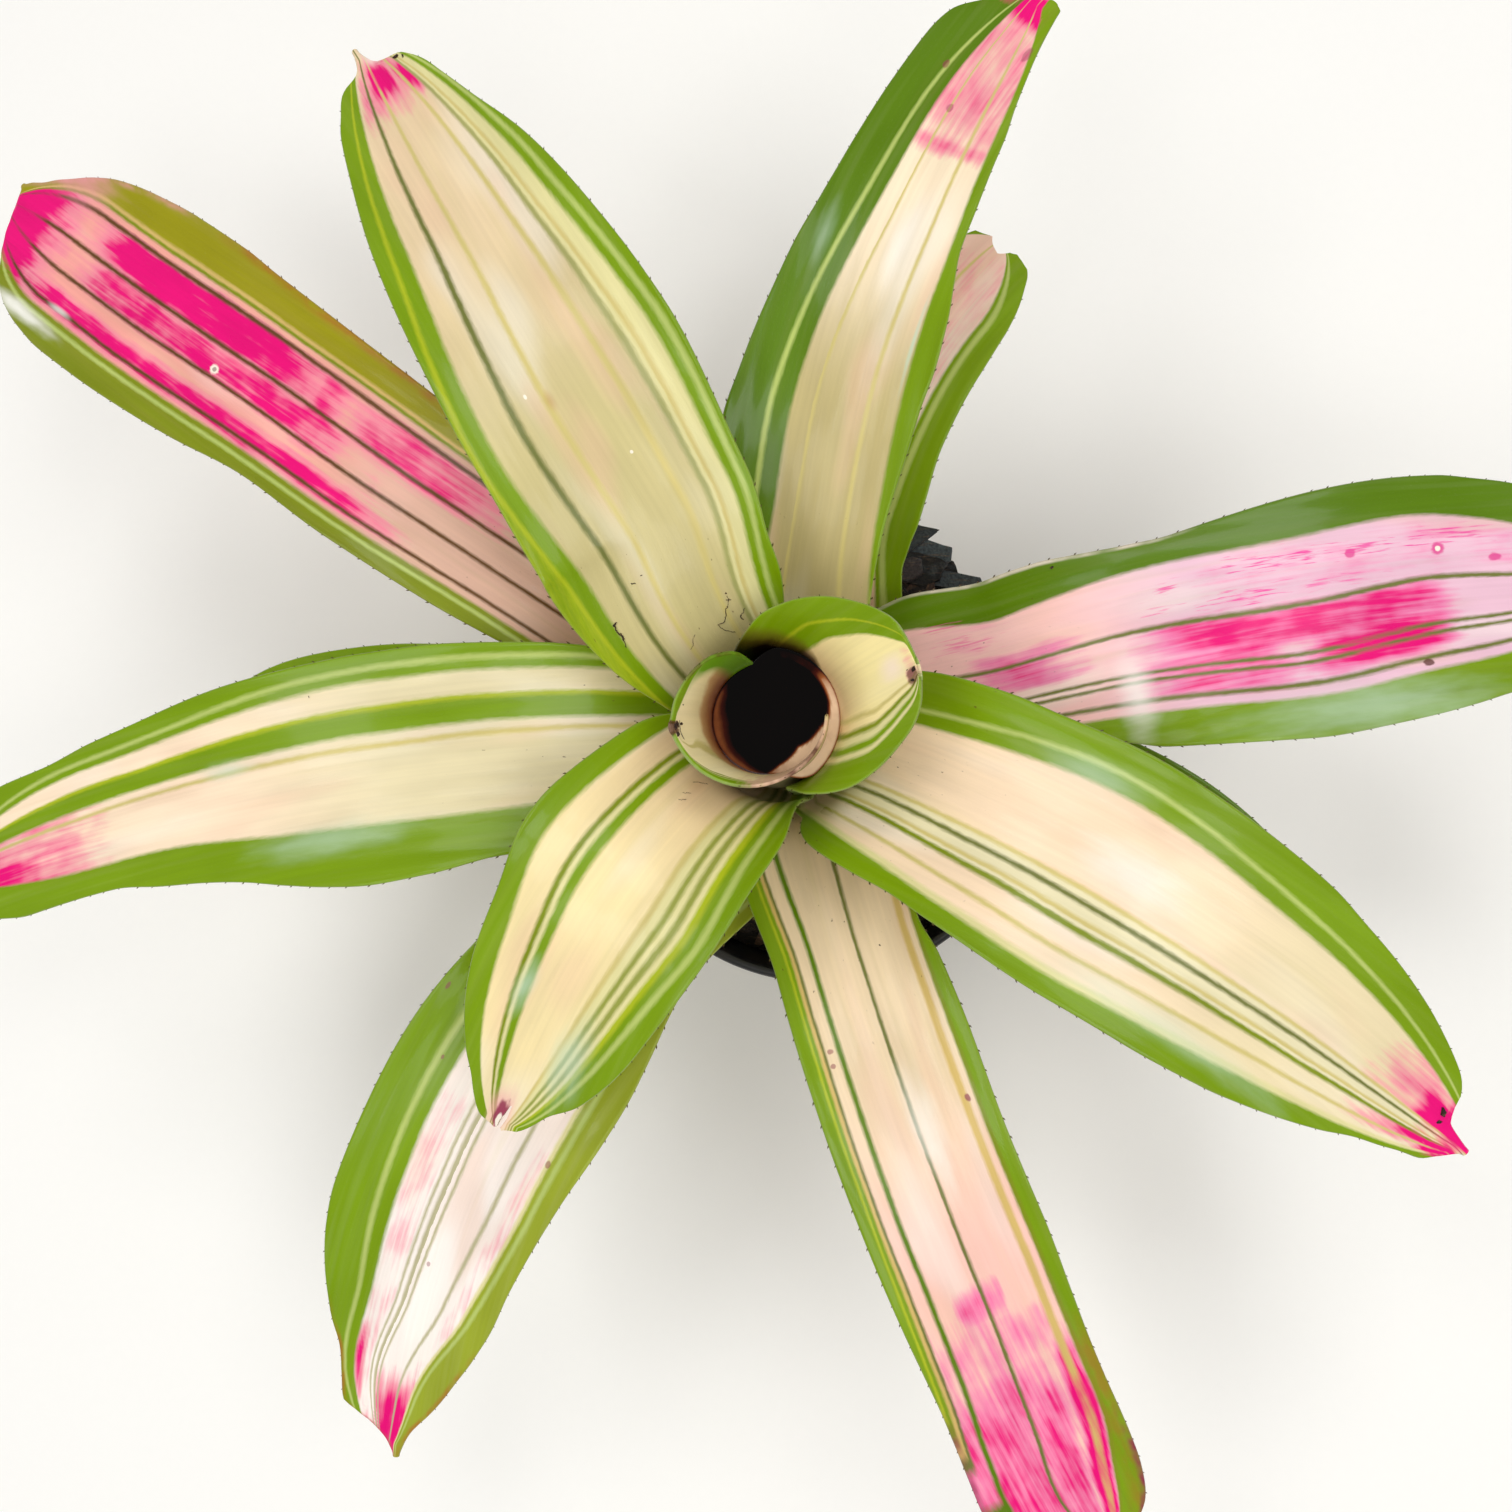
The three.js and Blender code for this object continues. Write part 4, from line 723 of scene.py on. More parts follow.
def makeLeafMaterial(leaf, order):
    # Living leaf with a smooth waxy cuticle: clear stripes under a clean gloss, silkier where scales lie
    material, add = newMaterial(f"waxy_variegated_leaf_{order + 1:02d}")
    finish = leafFinish
    onLeaf = add("Attribute", attribute_name="leafPlace").outputs["Vector"]
    place, pink, along, spineTip, under, stainAndShade = (
        add("Attribute", attribute_name=name).outputs["Fac"]
        for name in ("stripePlace", "pink", "alongShare", "spineTip", "underside", "stainAndShade"))
    shift = (37.0 * order, 11.0 * order, 5.0 * order)  # each leaf has its own streaks

    def streaks(length, width, detail=2.0):
        # noise drawn out along the leaf, with grains of this length and width in millimetres
        spot = add("VectorMath", [onLeaf, (1 / length, 1 / width, 0), shift], operation="MULTIPLY_ADD")
        return add("TexNoise", {"Vector": spot, "Scale": 1.0, "Detail": detail})

    veins = streaks(45, finish["veinSpacing"])
    scurf = streaks(finish["scurfSize"] * 2.2, finish["scurfSize"])
    slow = streaks(30, 8)

    # stripes: both halves' ramps, read at a place that wavers slightly and is finely frayed
    shifted = place
    for length, width, most in ((34, 9, finish["waver"]), (2.5, 0.5, finish["fuzz"])):
        swing = add("MapRange", [streaks(length, width), 0, 1, -most, most])
        shifted = add("Math", [shifted, swing])
    mirrored = add("Math", [shifted, -1.0], operation="MULTIPLY")
    leftColour, leftCover = halfRamp(add, shifted, leaf["bands"], 1)
    rightColour, rightCover = halfRamp(add, mirrored, leaf["bands"], -1)
    isLeft = add("Math", [shifted, 0.0], operation="GREATER_THAN")
    stripes = add("Mix", {0: isLeft, 6: rightColour, 7: leftColour}, data_type="RGBA")
    cover = add("Mix", {0: isLeft, 2: rightCover, 3: leftCover})
    worn = add("MapRange", [streaks(60, 2.2), 0.3, 0.55, 0.97])
    cover = add("Math", [cover, worn], operation="MULTIPLY")

    # ground between the stripes: pinker or creamier outwards, with faint yellow veins and the clouds
    nearTone, farTone, start, stop = leaf["ground"]
    layers = [(add("MapRange", [along, start, stop], interpolation_type="SMOOTHSTEP"), farTone),
              (add("MapRange", [streaks(70, 3.2), 0.56, 0.78, 0, 0.2]), finish["veinYellow"])]
    for tone, size, most in finish["clouds"]:
        clouds = streaks(size * 1.8, size * 0.5, 1.0)
        most *= 0.4 if leaf.get("cup") else 1
        clouds = add("MapRange", [clouds, 0.52, 0.72, 0, most], interpolation_type="SMOOTHSTEP")
        layers.append((clouds, finish[tone]))
    # pink flush: solid where it is strong, ragged streaks round it and only rose where it is weak
    patches = streaks(finish["patchSize"], finish["patchSize"] * 0.6)
    grain = add("Math", [streaks(finish["streakLength"], finish["streakWidth"], 4.0), patches])
    ragged = add("MapRange", [grain, 0.65, 1.35, -0.22, 0.22])
    amount = add("Math", [pink, ragged])
    here = add("MapRange", [pink, 0.02, 0.2])
    amount = add("Math", [amount, here], operation="MULTIPLY")
    for low, high, most, way, tone in ((0.12, 0.6, 0.9, "SMOOTHSTEP", leaf.get("rose", finish["rose"])),
                                       (0.5, 0.86, 1, "SMOOTHSTEP", finish["magenta"]),
                                       (1.15, 1.5, 0.8, "LINEAR", finish["crimson"])):
        layers.append((add("MapRange", [amount, low, high, 0, most], interpolation_type=way), tone))
    ground = fromHex(nearTone)
    for factor, tone in layers:
        ground = add("Mix", {0: factor, 6: ground, 7: fromHex(tone)}, data_type="RGBA")
    # a strong flush runs through the stripes too, and takes over at the very tip
    overStripes = add("MapRange", [amount, 0.85, 1.2, 0, 0.9])
    stripes = add("Mix", {0: overStripes, 6: stripes, 7: ground}, data_type="RGBA")
    colour = add("Mix", {0: cover, 6: ground, 7: stripes}, data_type="RGBA")

    # fine parallel veins and slow shading over everything
    shade = add("MapRange", [veins, 0.3, 0.7, 0.965, 1.025])
    slowShade = add("MapRange", [slow, 0.3, 0.7, 0.92, 1.06])
    both = add("Math", [shade, slowShade], operation="MULTIPLY")
    colour = add("VectorMath", {0: colour, "Scale": both}, operation="SCALE")
    # the layers above that, from the lowest up: waxy scales on the stripes
    scales = add("MapRange", [scurf, 0.6, 0.78, 0, 0.04])
    layers = [(add("Math", [scales, cover], operation="MULTIPLY"), fromHex(finish["silver"]))]
    if leaf.get("cup"):  # tea-brown stain where the water stood, with painted shade that darkens the walls towards the water
        blotch = add("MapRange", [streaks(6, 3), 0, 1, -0.12, 0.12])
        ramp = add("ValToRGB", [add("Math", [stainAndShade, blotch])])
        layers.append(fillRamp(ramp, [(at, fromHex(tone, most)) for at, tone, most in stainAndShadeTones[order]])[::-1])
    # brown specks that gather near the cup
    specks = add("MapRange", [streaks(1.6, 0.9, 3.0), 0.71, 0.77])
    nearCup = add("MapRange", [along, 0.42, 0.25])
    layers.append((add("Math", [specks, nearCup], operation="MULTIPLY"), fromHex(finish["stainAndShade"])))
    # the underside is duller and silvery
    layers.append((add("Math", [under, 0.42], operation="MULTIPLY"), fromHex(finish["silver"])))
    # single spots and bruises, and painted highlights and patches of painted sheen, with uneven edges
    wobble = add("MapRange", [streaks(3, 1.4, 4.0), 0, 1, -0.5, 0.5])
    slowWobble = add("MapRange", [streaks(9, 2.5), 0, 1, -0.3, 0.3])
    dashWobble = add("MapRange", [streaks(6, 0.5, 4.0), 0.3, 0.7, -0.5, 1.5])
    for away, left, halfLength, halfWidth, tone, strength in leaf.get("marks", []):
        size = (1 / halfLength, 1 / halfWidth, 0)
        away, left = -away * size[0], -left * size[1]
        spot = add("VectorMath", [onLeaf, size, (away, left, 0)], operation="MULTIPLY_ADD")
        reach = add("VectorMath", [spot], operation="LENGTH")
        soft = tone in finish["softMarks"]
        reach = add("Math", [reach, dashWobble if tone == "dash" else slowWobble if soft else wobble])
        inner = 0 if soft else 1 - finish["markFeather"]
        mark = add("MapRange", [reach, 1.0, inner, 0, strength], interpolation_type="SMOOTHSTEP")
        layers.append((mark, fromHex(markTones[tone])))
    # margins tinted red or browned by sun and drought
    inset = add("SeparateXYZ", [onLeaf]).outputs["Z"]
    for low, high, side, width, tone, strength in leaf.get("edges", []):
        tint = add("MapRange", [inset, width * 1.6, width * 0.3, 0, strength], interpolation_type="SMOOTHSTEP")
        factors = [add("MapRange", [along, low - 0.03, low + 0.02]),
                   add("MapRange", [along, high + 0.03, high - 0.02]),
                   add("MapRange", [streaks(7, 3), 0.3, 0.62, max(0.0, strength - 1)])]
        if side:
            factors.append(add("Math", [place, 0.0], operation="GREATER_THAN" if side > 0 else "LESS_THAN"))
        for factor in factors:
            tint = add("Math", [tint, factor], operation="MULTIPLY")
        layers.append((tint, fromHex(markTones[tone])))
    layers.append((add("MapRange", [spineTip, 0.2, 0.9]), fromHex(finish["spineBrown"])))
    for factor, tone in layers:
        colour = add("Mix", {0: factor, 6: colour, 7: tone}, data_type="RGBA")

    gloss = add("MapRange", [slow, 0.3, 0.7, *finish["roughness"]])
    rough = add("Mix", {0: under, 2: gloss, 3: finish["underRoughness"]})
    finishMaterial(add, colour, rough, add("Math", [veins, scurf]), 0.14, 0.2,
                   {"IOR": 1.45, "Specular IOR Level": 0.2, "Coat Weight": 0.16, "Coat Roughness": 0.1})
    return material


for order, leaf in enumerate(leafTable):
    vertices, faces, values = buildLeaf(leaf, order)
    name = f"leaf_{order + 1:02d}"
    piece = addPiece(name + "_blade", vertices, faces, makeLeafMaterial(leaf, order), "leaf", [name])
    for key, value in values.items():
        addValues(piece, key, value, "FLOAT_VECTOR" if key == "leafPlace" else "FLOAT")
print("leaves done")


pot = {
    "height": 90, "rimRadius": 53.5, "footRadius": 37.5, "wall": 1.2,
    "rimDepth": 8, "rimStep": 1.4, "rimBevel": 0.8, "footCorner": 3,
    "slotCount": 8, "slotWidth": 9, "slotHeight": 6, "slotReach": 12, "slotRound": 1.8,
    "sides": 144, "dustHeight": 30,  # splashed dust reaches this high
    "black": "#15161a", "worn": "#34353a", "dust": "#6b5a48",
    "scuffLength": 26, "scuffWidth": 0.5,  # hairline scuffs are nearer 0.1 mm; drawn wider so that they show
}


def roundedLine(corners, steps=5):
    # a profile with its corners rounded; a corner whose rounding is 0 stays sharp
    line = []
    places, roundings = np.array(corners, float)[:, :2], [corner[2] for corner in corners]
    for k, corner in enumerate(places):
        if not roundings[k]:
            line.append(corner)
            continue
        before, after = places[k - 1] - corner, places[k + 1] - corner
        reach = min(roundings[k], 0.45 * np.linalg.norm(before), 0.45 * np.linalg.norm(after))
        start, stop = corner + unit(before) * reach, corner + unit(after) * reach
        for t in np.linspace(0, 1, steps):
            line.append((1 - t) ** 2 * start + 2 * t * (1 - t) * corner + t ** 2 * stop)
    return line


def turnProfile(line, sides):
    # a profile that starts and ends on the axis, turned round it, as vertices and faces facing out
    turns = np.arange(sides) * 2 * math.pi / sides
    rings = [(r * np.cos(turns), r * np.sin(turns), np.full(sides, z)) for r, z in line[1:-1]]
    body = np.concatenate([np.stack(ring, axis=-1) for ring in rings])
    vertices = np.vstack([body, [0, 0, line[0][1]], [0, 0, line[-1][1]]])
    faces, first, last = [], len(body), len(body) + 1
    for i in range(sides):
        j = (i + 1) % sides
        faces.append((first, j, i))
        faces.append((len(body) - sides + i, len(body) - sides + j, last))
        for k in range(len(rings) - 1):
            a = k * sides
            faces.append((a + i, a + j, a + sides + j, a + sides + i))
    return vertices, faces


def wallRadius(z):
    # outside of the pot's wall
    return blend(pot["footRadius"], pot["rimRadius"] - pot["rimStep"], z / pot["height"])


def makePotMaterial():
    # Moulded black polypropylene: even satin black, with scuffs and the dust of bark on it
    material, add = newMaterial("moulded_black_polypropylene")
    spot = add("TexCoord").outputs["Object"]
    grain = add("TexNoise", {"Vector": spot, "Scale": 1 / (1.1 * mm), "Detail": 2.0})
    patches = add("TexNoise", {"Vector": spot, "Scale": 1 / (16 * mm), "Detail": 5.0})
    long, fine = 1 / (pot["scuffLength"] * mm), 1 / (pot["scuffWidth"] * mm)
    drawn = add("VectorMath", [spot, (long, long, fine)], operation="MULTIPLY")
    scuffs = add("TexNoise", {"Vector": drawn, "Scale": 1.0, "Detail": 2.0})
    worn = add("MapRange", [scuffs, 0.6, 0.74, 0, 0.55])
    height = add("SeparateXYZ", [spot]).outputs["Z"]
    low = add("MapRange", [height, pot["dustHeight"] * mm, 0, 0, 0.35])
    dusty = add("Math", [add("MapRange", [patches, 0.48, 0.72, 0, 0.32]), low])
    dusty = add("Math", [dusty, grain], operation="MULTIPLY")
    colour = fromHex(pot["black"])
    for factor, tone in ((worn, "worn"), (dusty, "dust")):
        colour = add("Mix", {0: factor, 6: colour, 7: fromHex(pot[tone])}, data_type="RGBA")
    rough = add("MapRange", [patches, 0.3, 0.7, 0.34, 0.56])
    finishMaterial(add, colour, rough, add("Math", [grain, scuffs]), 0.25, 0.12, {"IOR": 1.49})
    return material


def makePot():
    top, wall, corner, bevel = pot["height"], pot["wall"], pot["footCorner"], pot["rimBevel"]
    foot, rim, band = pot["footRadius"], pot["rimRadius"], top - pot["rimDepth"]
    # radius, height and rounding of each corner of the profile, from the middle below round to the middle above
    corners = [(0, 0.8, 0), (22, 0.8, 0.6), (24, 0, 0.6), (foot - corner, 0, 1.2),
               (wallRadius(corner), corner, 1.2), (wallRadius(band), band, 0.5),
               (rim, band + pot["rimStep"], 0.6), (rim, top - bevel, 0.5),
               (rim - bevel, top, 0.5), (wallRadius(top) - wall + bevel / 2, top, 0.3),
               (wallRadius(top - 2 * bevel) - wall, top - 2 * bevel, 0.5),
               (wallRadius(corner + wall) - wall, corner + wall, 1.2), (foot - corner - wall, wall, 1.2),
               (0, wall + 0.6, 0)]
    line = roundedLine(corners)
    finer = [line[0]]
    for a, b in zip(line, line[1:]):  # long runs are split, so that the drain slots cut cleanly
        count = max(1, int(np.linalg.norm(b - a) / 6))
        finer += [blend(a, b, t) for t in np.linspace(0, 1, count + 1)[1:]]
    shell = addPiece("nursery_pot", *turnProfile(finer, pot["sides"]), makePotMaterial(), "pot_plastic", ["pot"])
    cutter = bmesh.new()
    for i in range(pot["slotCount"]):
        turn = Matrix.Rotation(2 * math.pi * (i + 0.5) / pot["slotCount"], 4, "Z")
        size = Matrix.Diagonal((pot["slotReach"] * mm, pot["slotWidth"] * mm, pot["slotHeight"] * mm, 1))
        place = Matrix.Translation(Vector((pot["footRadius"], 0, pot["slotHeight"] / 2 - plant["gap"])) * mm)
        bmesh.ops.create_cube(cutter, size=1, matrix=turn @ place @ size)
    # the long upper edges of each slot are rounded
    upper = [edge for edge in cutter.edges if abs(edge.verts[0].co.z - edge.verts[1].co.z) < 0.1 * mm
             and edge.verts[0].co.z > 4 * mm and edge.calc_length() > 10 * mm]
    bmesh.ops.bevel(cutter, geom=upper, offset=pot["slotRound"] * mm, segments=5, affect="EDGES", profile=0.5)
    cutterMesh = bpy.data.meshes.new("slots")
    cutter.to_mesh(cutterMesh)
    cutter.free()
    slots = bpy.data.objects.new("slots", cutterMesh)
    scene.collection.objects.link(slots)
    cut = shell.modifiers.new("drain slots", "BOOLEAN")
    cut.operation, cut.solver, cut.object = "DIFFERENCE", "EXACT", slots
    done = bpy.data.meshes.new_from_object(shell.evaluated_get(bpy.context.evaluated_depsgraph_get()))
    shell.modifiers.clear()
    shell.data = done
    bpy.data.objects.remove(slots)
    done.set_sharp_from_angle(angle=math.radians(35))


makePot()
print("pot done")


bark = {
    "level": 78, "edgeDrop": 1.5, "edgeWidth": 4, "relief": 0.9,
    "turnStep": 137.5,  # each chip lies this far round from the one before
    "chipCount": 260, "chipSize": (2.6, 7.4), "chipTilt": 0.38,  # half the length of a chip
    "clearRadius": 33,  # larger chips stay outside the leaf bases
    "fineCount": 170, "fineSize": (1.1, 2.4), "fineTilt": 0.5,  # crumbs between the chips and over the middle
    "heapTurn": 60, "heapSpread": 12, "heapCount": 26, "heapSize": (4.5, 9.0),
    # chips of the heap inside the rim and over it: share of the heap where they end, radii, level and its
    # spread, largest size, tilt
    "heapInside": (0.45, 36, 44, 83, 2.5, 6.5, 0.35), "heapOver": (1, 46, 50, 93, 1.2, 7, 0.16),
    # torn plates that lie out over the rim: level, half thickness, tone, then bearing and radius of each corner;
    # their grey tones are painted sheen of light on the dark plates
    "plates": [(94.6, 1.5, "#2c3133", [(76, 60), (71, 64), (65.6, 63.8), (61.5, 64.4), (62.4, 62), (65, 57),
                                       (69, 50), (74, 50)]),
               (93.2, 1.4, "#3c4447", [(64, 61.2), (58.9, 60.8), (56.8, 63), (55.3, 60), (57.5, 55), (61, 52),
                                       (69, 54)]),
               (95, 1.2, "#0e0b0a", [(63, 57.4), (58.6, 58.2), (55.6, 58.4), (55, 54), (58, 50), (67, 49),
                                     (68, 56)]),
               (91, 1.3, "#0c0a09", [(61, 60), (55.3, 60.6), (52.2, 58.6), (51, 54), (54, 49), (64, 48),
                                     (68, 58)]),
               (93.2, 1.2, "#3a4144", [(58.5, 55.6), (54.9, 57), (48, 60.4), (46, 59), (51, 54), (56, 52)]),
               (96.6, 1.1, "#352c2c", [(66, 53.6), (64, 55.6), (61.4, 55.8), (59.5, 52.7), (62, 49), (66, 48)]),
               (91.4, 1.4, "#0e0b0a", [(48, 58.6), (42, 59.4), (36, 56), (38, 49), (46, 48)])],
    "tones": ["#1b120d", "#281913", "#120d0b", "#3f2a1d", "#191210", "#523c2c", "#211713", "#6f543c"],
    "plateSize": 9, "ash": "#6c7476", "fibre": "#6f563f",
}


def barkChip(chance, size):
    # a torn plate of bark: flat, many cornered, with a stepped broken edge
    corners = []
    count = chance.integers(5, 8)
    turns = np.sort(chance.uniform(0, 2 * math.pi, count))
    stretch = np.array([1.0, chance.uniform(0.42, 0.75), 1.0])
    thick = size * chance.uniform(0.16, 0.34)
    for layer in (-1, 0, 1):
        reach = size * chance.uniform(0.72, 1.0, count) * (1 - 0.16 * abs(layer))
        corners.append(np.stack([reach * np.cos(turns), reach * np.sin(turns),
                                 layer * thick * chance.uniform(0.75, 1.1, count)], axis=-1) * stretch)
    return np.vstack(corners)


def leant(chance, spread):
    # a slight random tilt
    return Matrix.Rotation(chance.normal(0, spread), 3, "X") @ Matrix.Rotation(chance.normal(0, spread), 3, "Y")


def tiltedBy(chance, spread):
    # the same after any turn round the upright
    tilt = leant(chance, spread)
    return np.array(tilt @ Matrix.Rotation(chance.uniform(0, 2 * math.pi), 3, "Z"))


def barkPlaces():
    # corners, turn, place, size and tone of each chip, and the run of chance that laid them
    chance = np.random.default_rng(5)
    palette = [fromHex(tone) for tone in bark["tones"]]

    def lay(turn, reach, level, size, spread):
        centre = (reach * math.cos(turn), reach * math.sin(turn), level)
        tone = palette[min(len(palette) - 1, int(chance.exponential(2.0)))]
        places.append((barkChip(chance, size), tiltedBy(chance, spread), centre, size, tone))

    inner = wallRadius(bark["level"]) - pot["wall"]
    places = []
    for i in range(bark["chipCount"]):
        size = chance.uniform(*bark["chipSize"])
        reach = math.sqrt(chance.uniform(bark["clearRadius"] ** 2, (inner - 0.85 * size) ** 2))
        level = bark["level"] + chance.uniform(-0.3, 2.6)
        lay(math.radians(bark["turnStep"] * i), reach, level, size, bark["chipTilt"])
    for i in range(bark["fineCount"]):
        size = chance.uniform(*bark["fineSize"])
        reach = math.sqrt(chance.uniform(10 ** 2, (inner - size - 0.5) ** 2))
        lay(math.radians(bark["turnStep"] * i + 60), reach, bark["level"] + 0.4, size, bark["fineTilt"])
    for i in range(bark["heapCount"]):
        turn = math.radians(bark["heapTurn"] + chance.uniform(-1, 1) * bark["heapSpread"])
        out = i / (bark["heapCount"] - 1)
        size = chance.uniform(*bark["heapSize"])
        inside = bark["heapInside"][0]
        start = 0 if out < inside else inside
        stop, near, far, level, spread, most, lean = bark["heapInside" if out < inside else "heapOver"]
        reach = blend(near, far, (out - start) / (stop - start))
        lay(turn, reach, level + spread * chance.random(), min(size, most), lean)
    for level, thick, tone, corners in bark["plates"]:
        outline = np.array([(reach * math.cos(math.radians(turn)), reach * math.sin(math.radians(turn)), 0)
                            for turn, reach in corners])
        centre = outline.mean(axis=0)
        flat = outline - centre
        layers = [flat * share + (0, 0, height) for share, height in ((0.93, -thick), (1, 0), (0.96, thick))]
        turned, centre = np.array(leant(chance, 0.06)), centre + (0, 0, level)
        places.append((np.vstack(layers), turned, centre, bark["plateSize"], fromHex(tone)))
    return chance, places


def makeBarkMaterial():
    # Composted pine bark: torn matt plates from black to tan, with pale weathered faces and fibres
    material, add = newMaterial("composted_pine_bark")
    spot = add("TexCoord").outputs["Object"]
    colour = add("Attribute", attribute_name="chipTone")
    grainPlace = add("Attribute", attribute_name="grainPlace").outputs["Vector"]
    drawn = add("VectorMath", [grainPlace, (0.22, 1.6, 1.6)], operation="MULTIPLY")
    fibres = add("TexNoise", {"Vector": drawn, "Scale": 1.0, "Detail": 4.0})
    patches = add("TexNoise", {"Vector": spot, "Scale": 1 / (4.5 * mm), "Detail": 4.0})
    crumbs = add("TexNoise", {"Vector": spot, "Scale": 1 / (0.6 * mm), "Detail": 3.0})
    for value, low, high, most, tone in ((patches, 0.55, 0.75, 0.35, "ash"), (fibres, 0.54, 0.72, 0.4, "fibre")):
        factor = add("MapRange", [value, low, high, 0, most])
        colour = add("Mix", {0: factor, 6: colour, 7: fromHex(bark[tone])}, data_type="RGBA")
    dark = add("MapRange", [crumbs, 0.3, 0.65, 0.45, 1.15])
    colour = add("VectorMath", {0: colour, "Scale": dark}, operation="SCALE")
    rough = add("MapRange", [patches, 0, 1, 0.72, 0.96])
    finishMaterial(add, colour, rough, add("Math", [fibres, crumbs]), 0.7, 0.5)
    return material


def makeBark():
    chance, places = barkPlaces()
    corner, clear = pot["footCorner"], pot["wall"] + plant["gap"]
    edge, level = wallRadius(bark["level"]) - clear, bark["level"]
    line = [(0, clear), (pot["footRadius"] - corner - clear, clear)]
    line += [(wallRadius(corner + clear) - clear, corner + clear)]
    shoulder = level - bark["edgeDrop"]
    line += [(wallRadius(z) - clear, z) for z in np.linspace(corner + clear + 6, shoulder - 2, 9)]
    line += [(edge - 0.2, shoulder)]
    line += [(r, level) for r in np.linspace(edge - bark["edgeWidth"], 2, 20)] + [(0, level)]
    vertices, faces = turnProfile(line, 120)
    for point in vertices:  # the bed is lumpy on top, and uneven where the drain slots show it
        lump = noise.fractal(Vector(point) * 0.16, 1.0, 2.0, 4)
        if point[2] > level - 3:
            point[2] += bark["relief"] * lump
        else:
            point[:2] *= 1 - 0.006 * abs(lump)
    tones = [fromHex(bark["tones"][2])] * len(vertices)
    vertices, grainPlaces = [vertices], [vertices]
    for corners, turned, centre, size, tone in places:
        hull = hullOf(corners)
        bmesh.ops.subdivide_edges(hull, edges=hull.edges[:], cuts=1 if size < 3 else 2, use_grid_fill=True)
        bmesh.ops.triangulate(hull, faces=hull.faces[:])
        own = np.array([v.co for v in hull.verts])
        start = Vector(chance.uniform(-50, 50, 3))
        rough = np.array([noise.fractal(Vector(p) * (1.6 / size) + start, 1.0, 2.0, 4) for p in own])
        layered = np.array([noise.noise(Vector((p[0] * 0.15, p[1] * 0.5, p[2] * 1.8)) + start) for p in own])
        shaped = own * (1 + 0.13 * rough + 0.1 * layered)[:, None]
        offset = sum(map(len, vertices))
        faces += [tuple(offset + v.index for v in face.verts) for face in hull.faces]
        hull.free()
        tones += [tone] * len(own)
        vertices.append(shaped @ turned.T + centre)
        grainPlaces.append(own + np.array(start) * 3)
    piece = addPiece("bark_mix_bed", np.vstack(vertices), faces, makeBarkMaterial(), "bark_mix",
                     ["potting_mix"], False)
    addValues(piece, "grainPlace", np.vstack(grainPlaces), "FLOAT_VECTOR")
    layer = piece.data.color_attributes.new("chipTone", "FLOAT_COLOR", "POINT")
    layer.data.foreach_set("color", np.array(tones).ravel())
    print("bark", len(piece.data.polygons))


makeBark()


stem = {
    "sides": 48, "scarStep": 0.35,  # how far each old leaf scar stands out
    "scarPitch": 2.25, "fibreLength": 6, "fibreWidth": 0.8, "brownBelow": 84,
    "ribs": 5, "ribDepth": 0.02, "ribTwist": 0.9,  # shallow ribs where leaf bases sat
    "green": "#7d8a45", "brown": "#5f4427", "dark": "#2f2115",
}


def makeStemMaterial():
    # Short woody stem: green at the growing top, browner and fibrous at the old leaf scars
    material, add = newMaterial("young_woody_stem")
    spot = add("TexCoord").outputs["Object"]
    height = add("SeparateXYZ", [spot]).outputs["Z"]
    fine = 1 / (stem["fibreWidth"] * mm)
    drawn = add("VectorMath", [spot, (fine, fine, 1 / (stem["fibreLength"] * mm))], operation="MULTIPLY")
    fibres = add("TexNoise", {"Vector": drawn, "Scale": 1.0, "Detail": 4.0})
    blotches = add("TexNoise", {"Vector": spot, "Scale": 1 / (3 * mm), "Detail": 3.0})
    old = add("MapRange", [height, plant["stemTop"] * mm, stem["brownBelow"] * mm])
    dark = add("MapRange", [fibres, 0.45, 0.7, 0, 0.6])
    colour = fromHex(stem["green"])
    for factor, tone in ((old, "brown"), (dark, "dark")):
        colour = add("Mix", {0: factor, 6: colour, 7: fromHex(stem[tone])}, data_type="RGBA")
    shade = add("MapRange", [blotches, 0, 1, 0.75, 1.2])
    colour = add("VectorMath", {0: colour, "Scale": shade}, operation="SCALE")
    finishMaterial(add, colour, add("MapRange", [blotches, 0, 1, 0.6, 0.85]), fibres, 0.6, 0.4)
    return material


foot, top, topRadius = plant["stemFoot"], plant["stemTop"], plant["stemTopRadius"]
line = [(0, foot), (plant["stemFootRadius"] - 1, foot), (plant["stemFootRadius"] - 0.1, foot + 1)]
for z in np.arange(foot + 2, top - 1.2, 0.75):
    scar = (z % stem["scarPitch"]) / stem["scarPitch"]  # a step at the foot of each leaf, then a slow taper
    line.append((float(stemRadius(z)) - stem["scarStep"] * scar, z))
line += [(topRadius - 0.7, top - 0.8), (topRadius - 1.6, top - 0.2), (1.5, top - 0.05), (0, top)]
vertices, faces = turnProfile(line, stem["sides"])
for point in vertices:
    rib = 0.5 + 0.5 * math.sin(stem["ribs"] * math.atan2(point[1], point[0]) + stem["ribTwist"] * point[2])
    point[:2] *= 1 - stem["ribDepth"] * rib
addPiece("stem_core", vertices + middle, faces, makeStemMaterial(), "stem", ["stem"])
print("stem done")


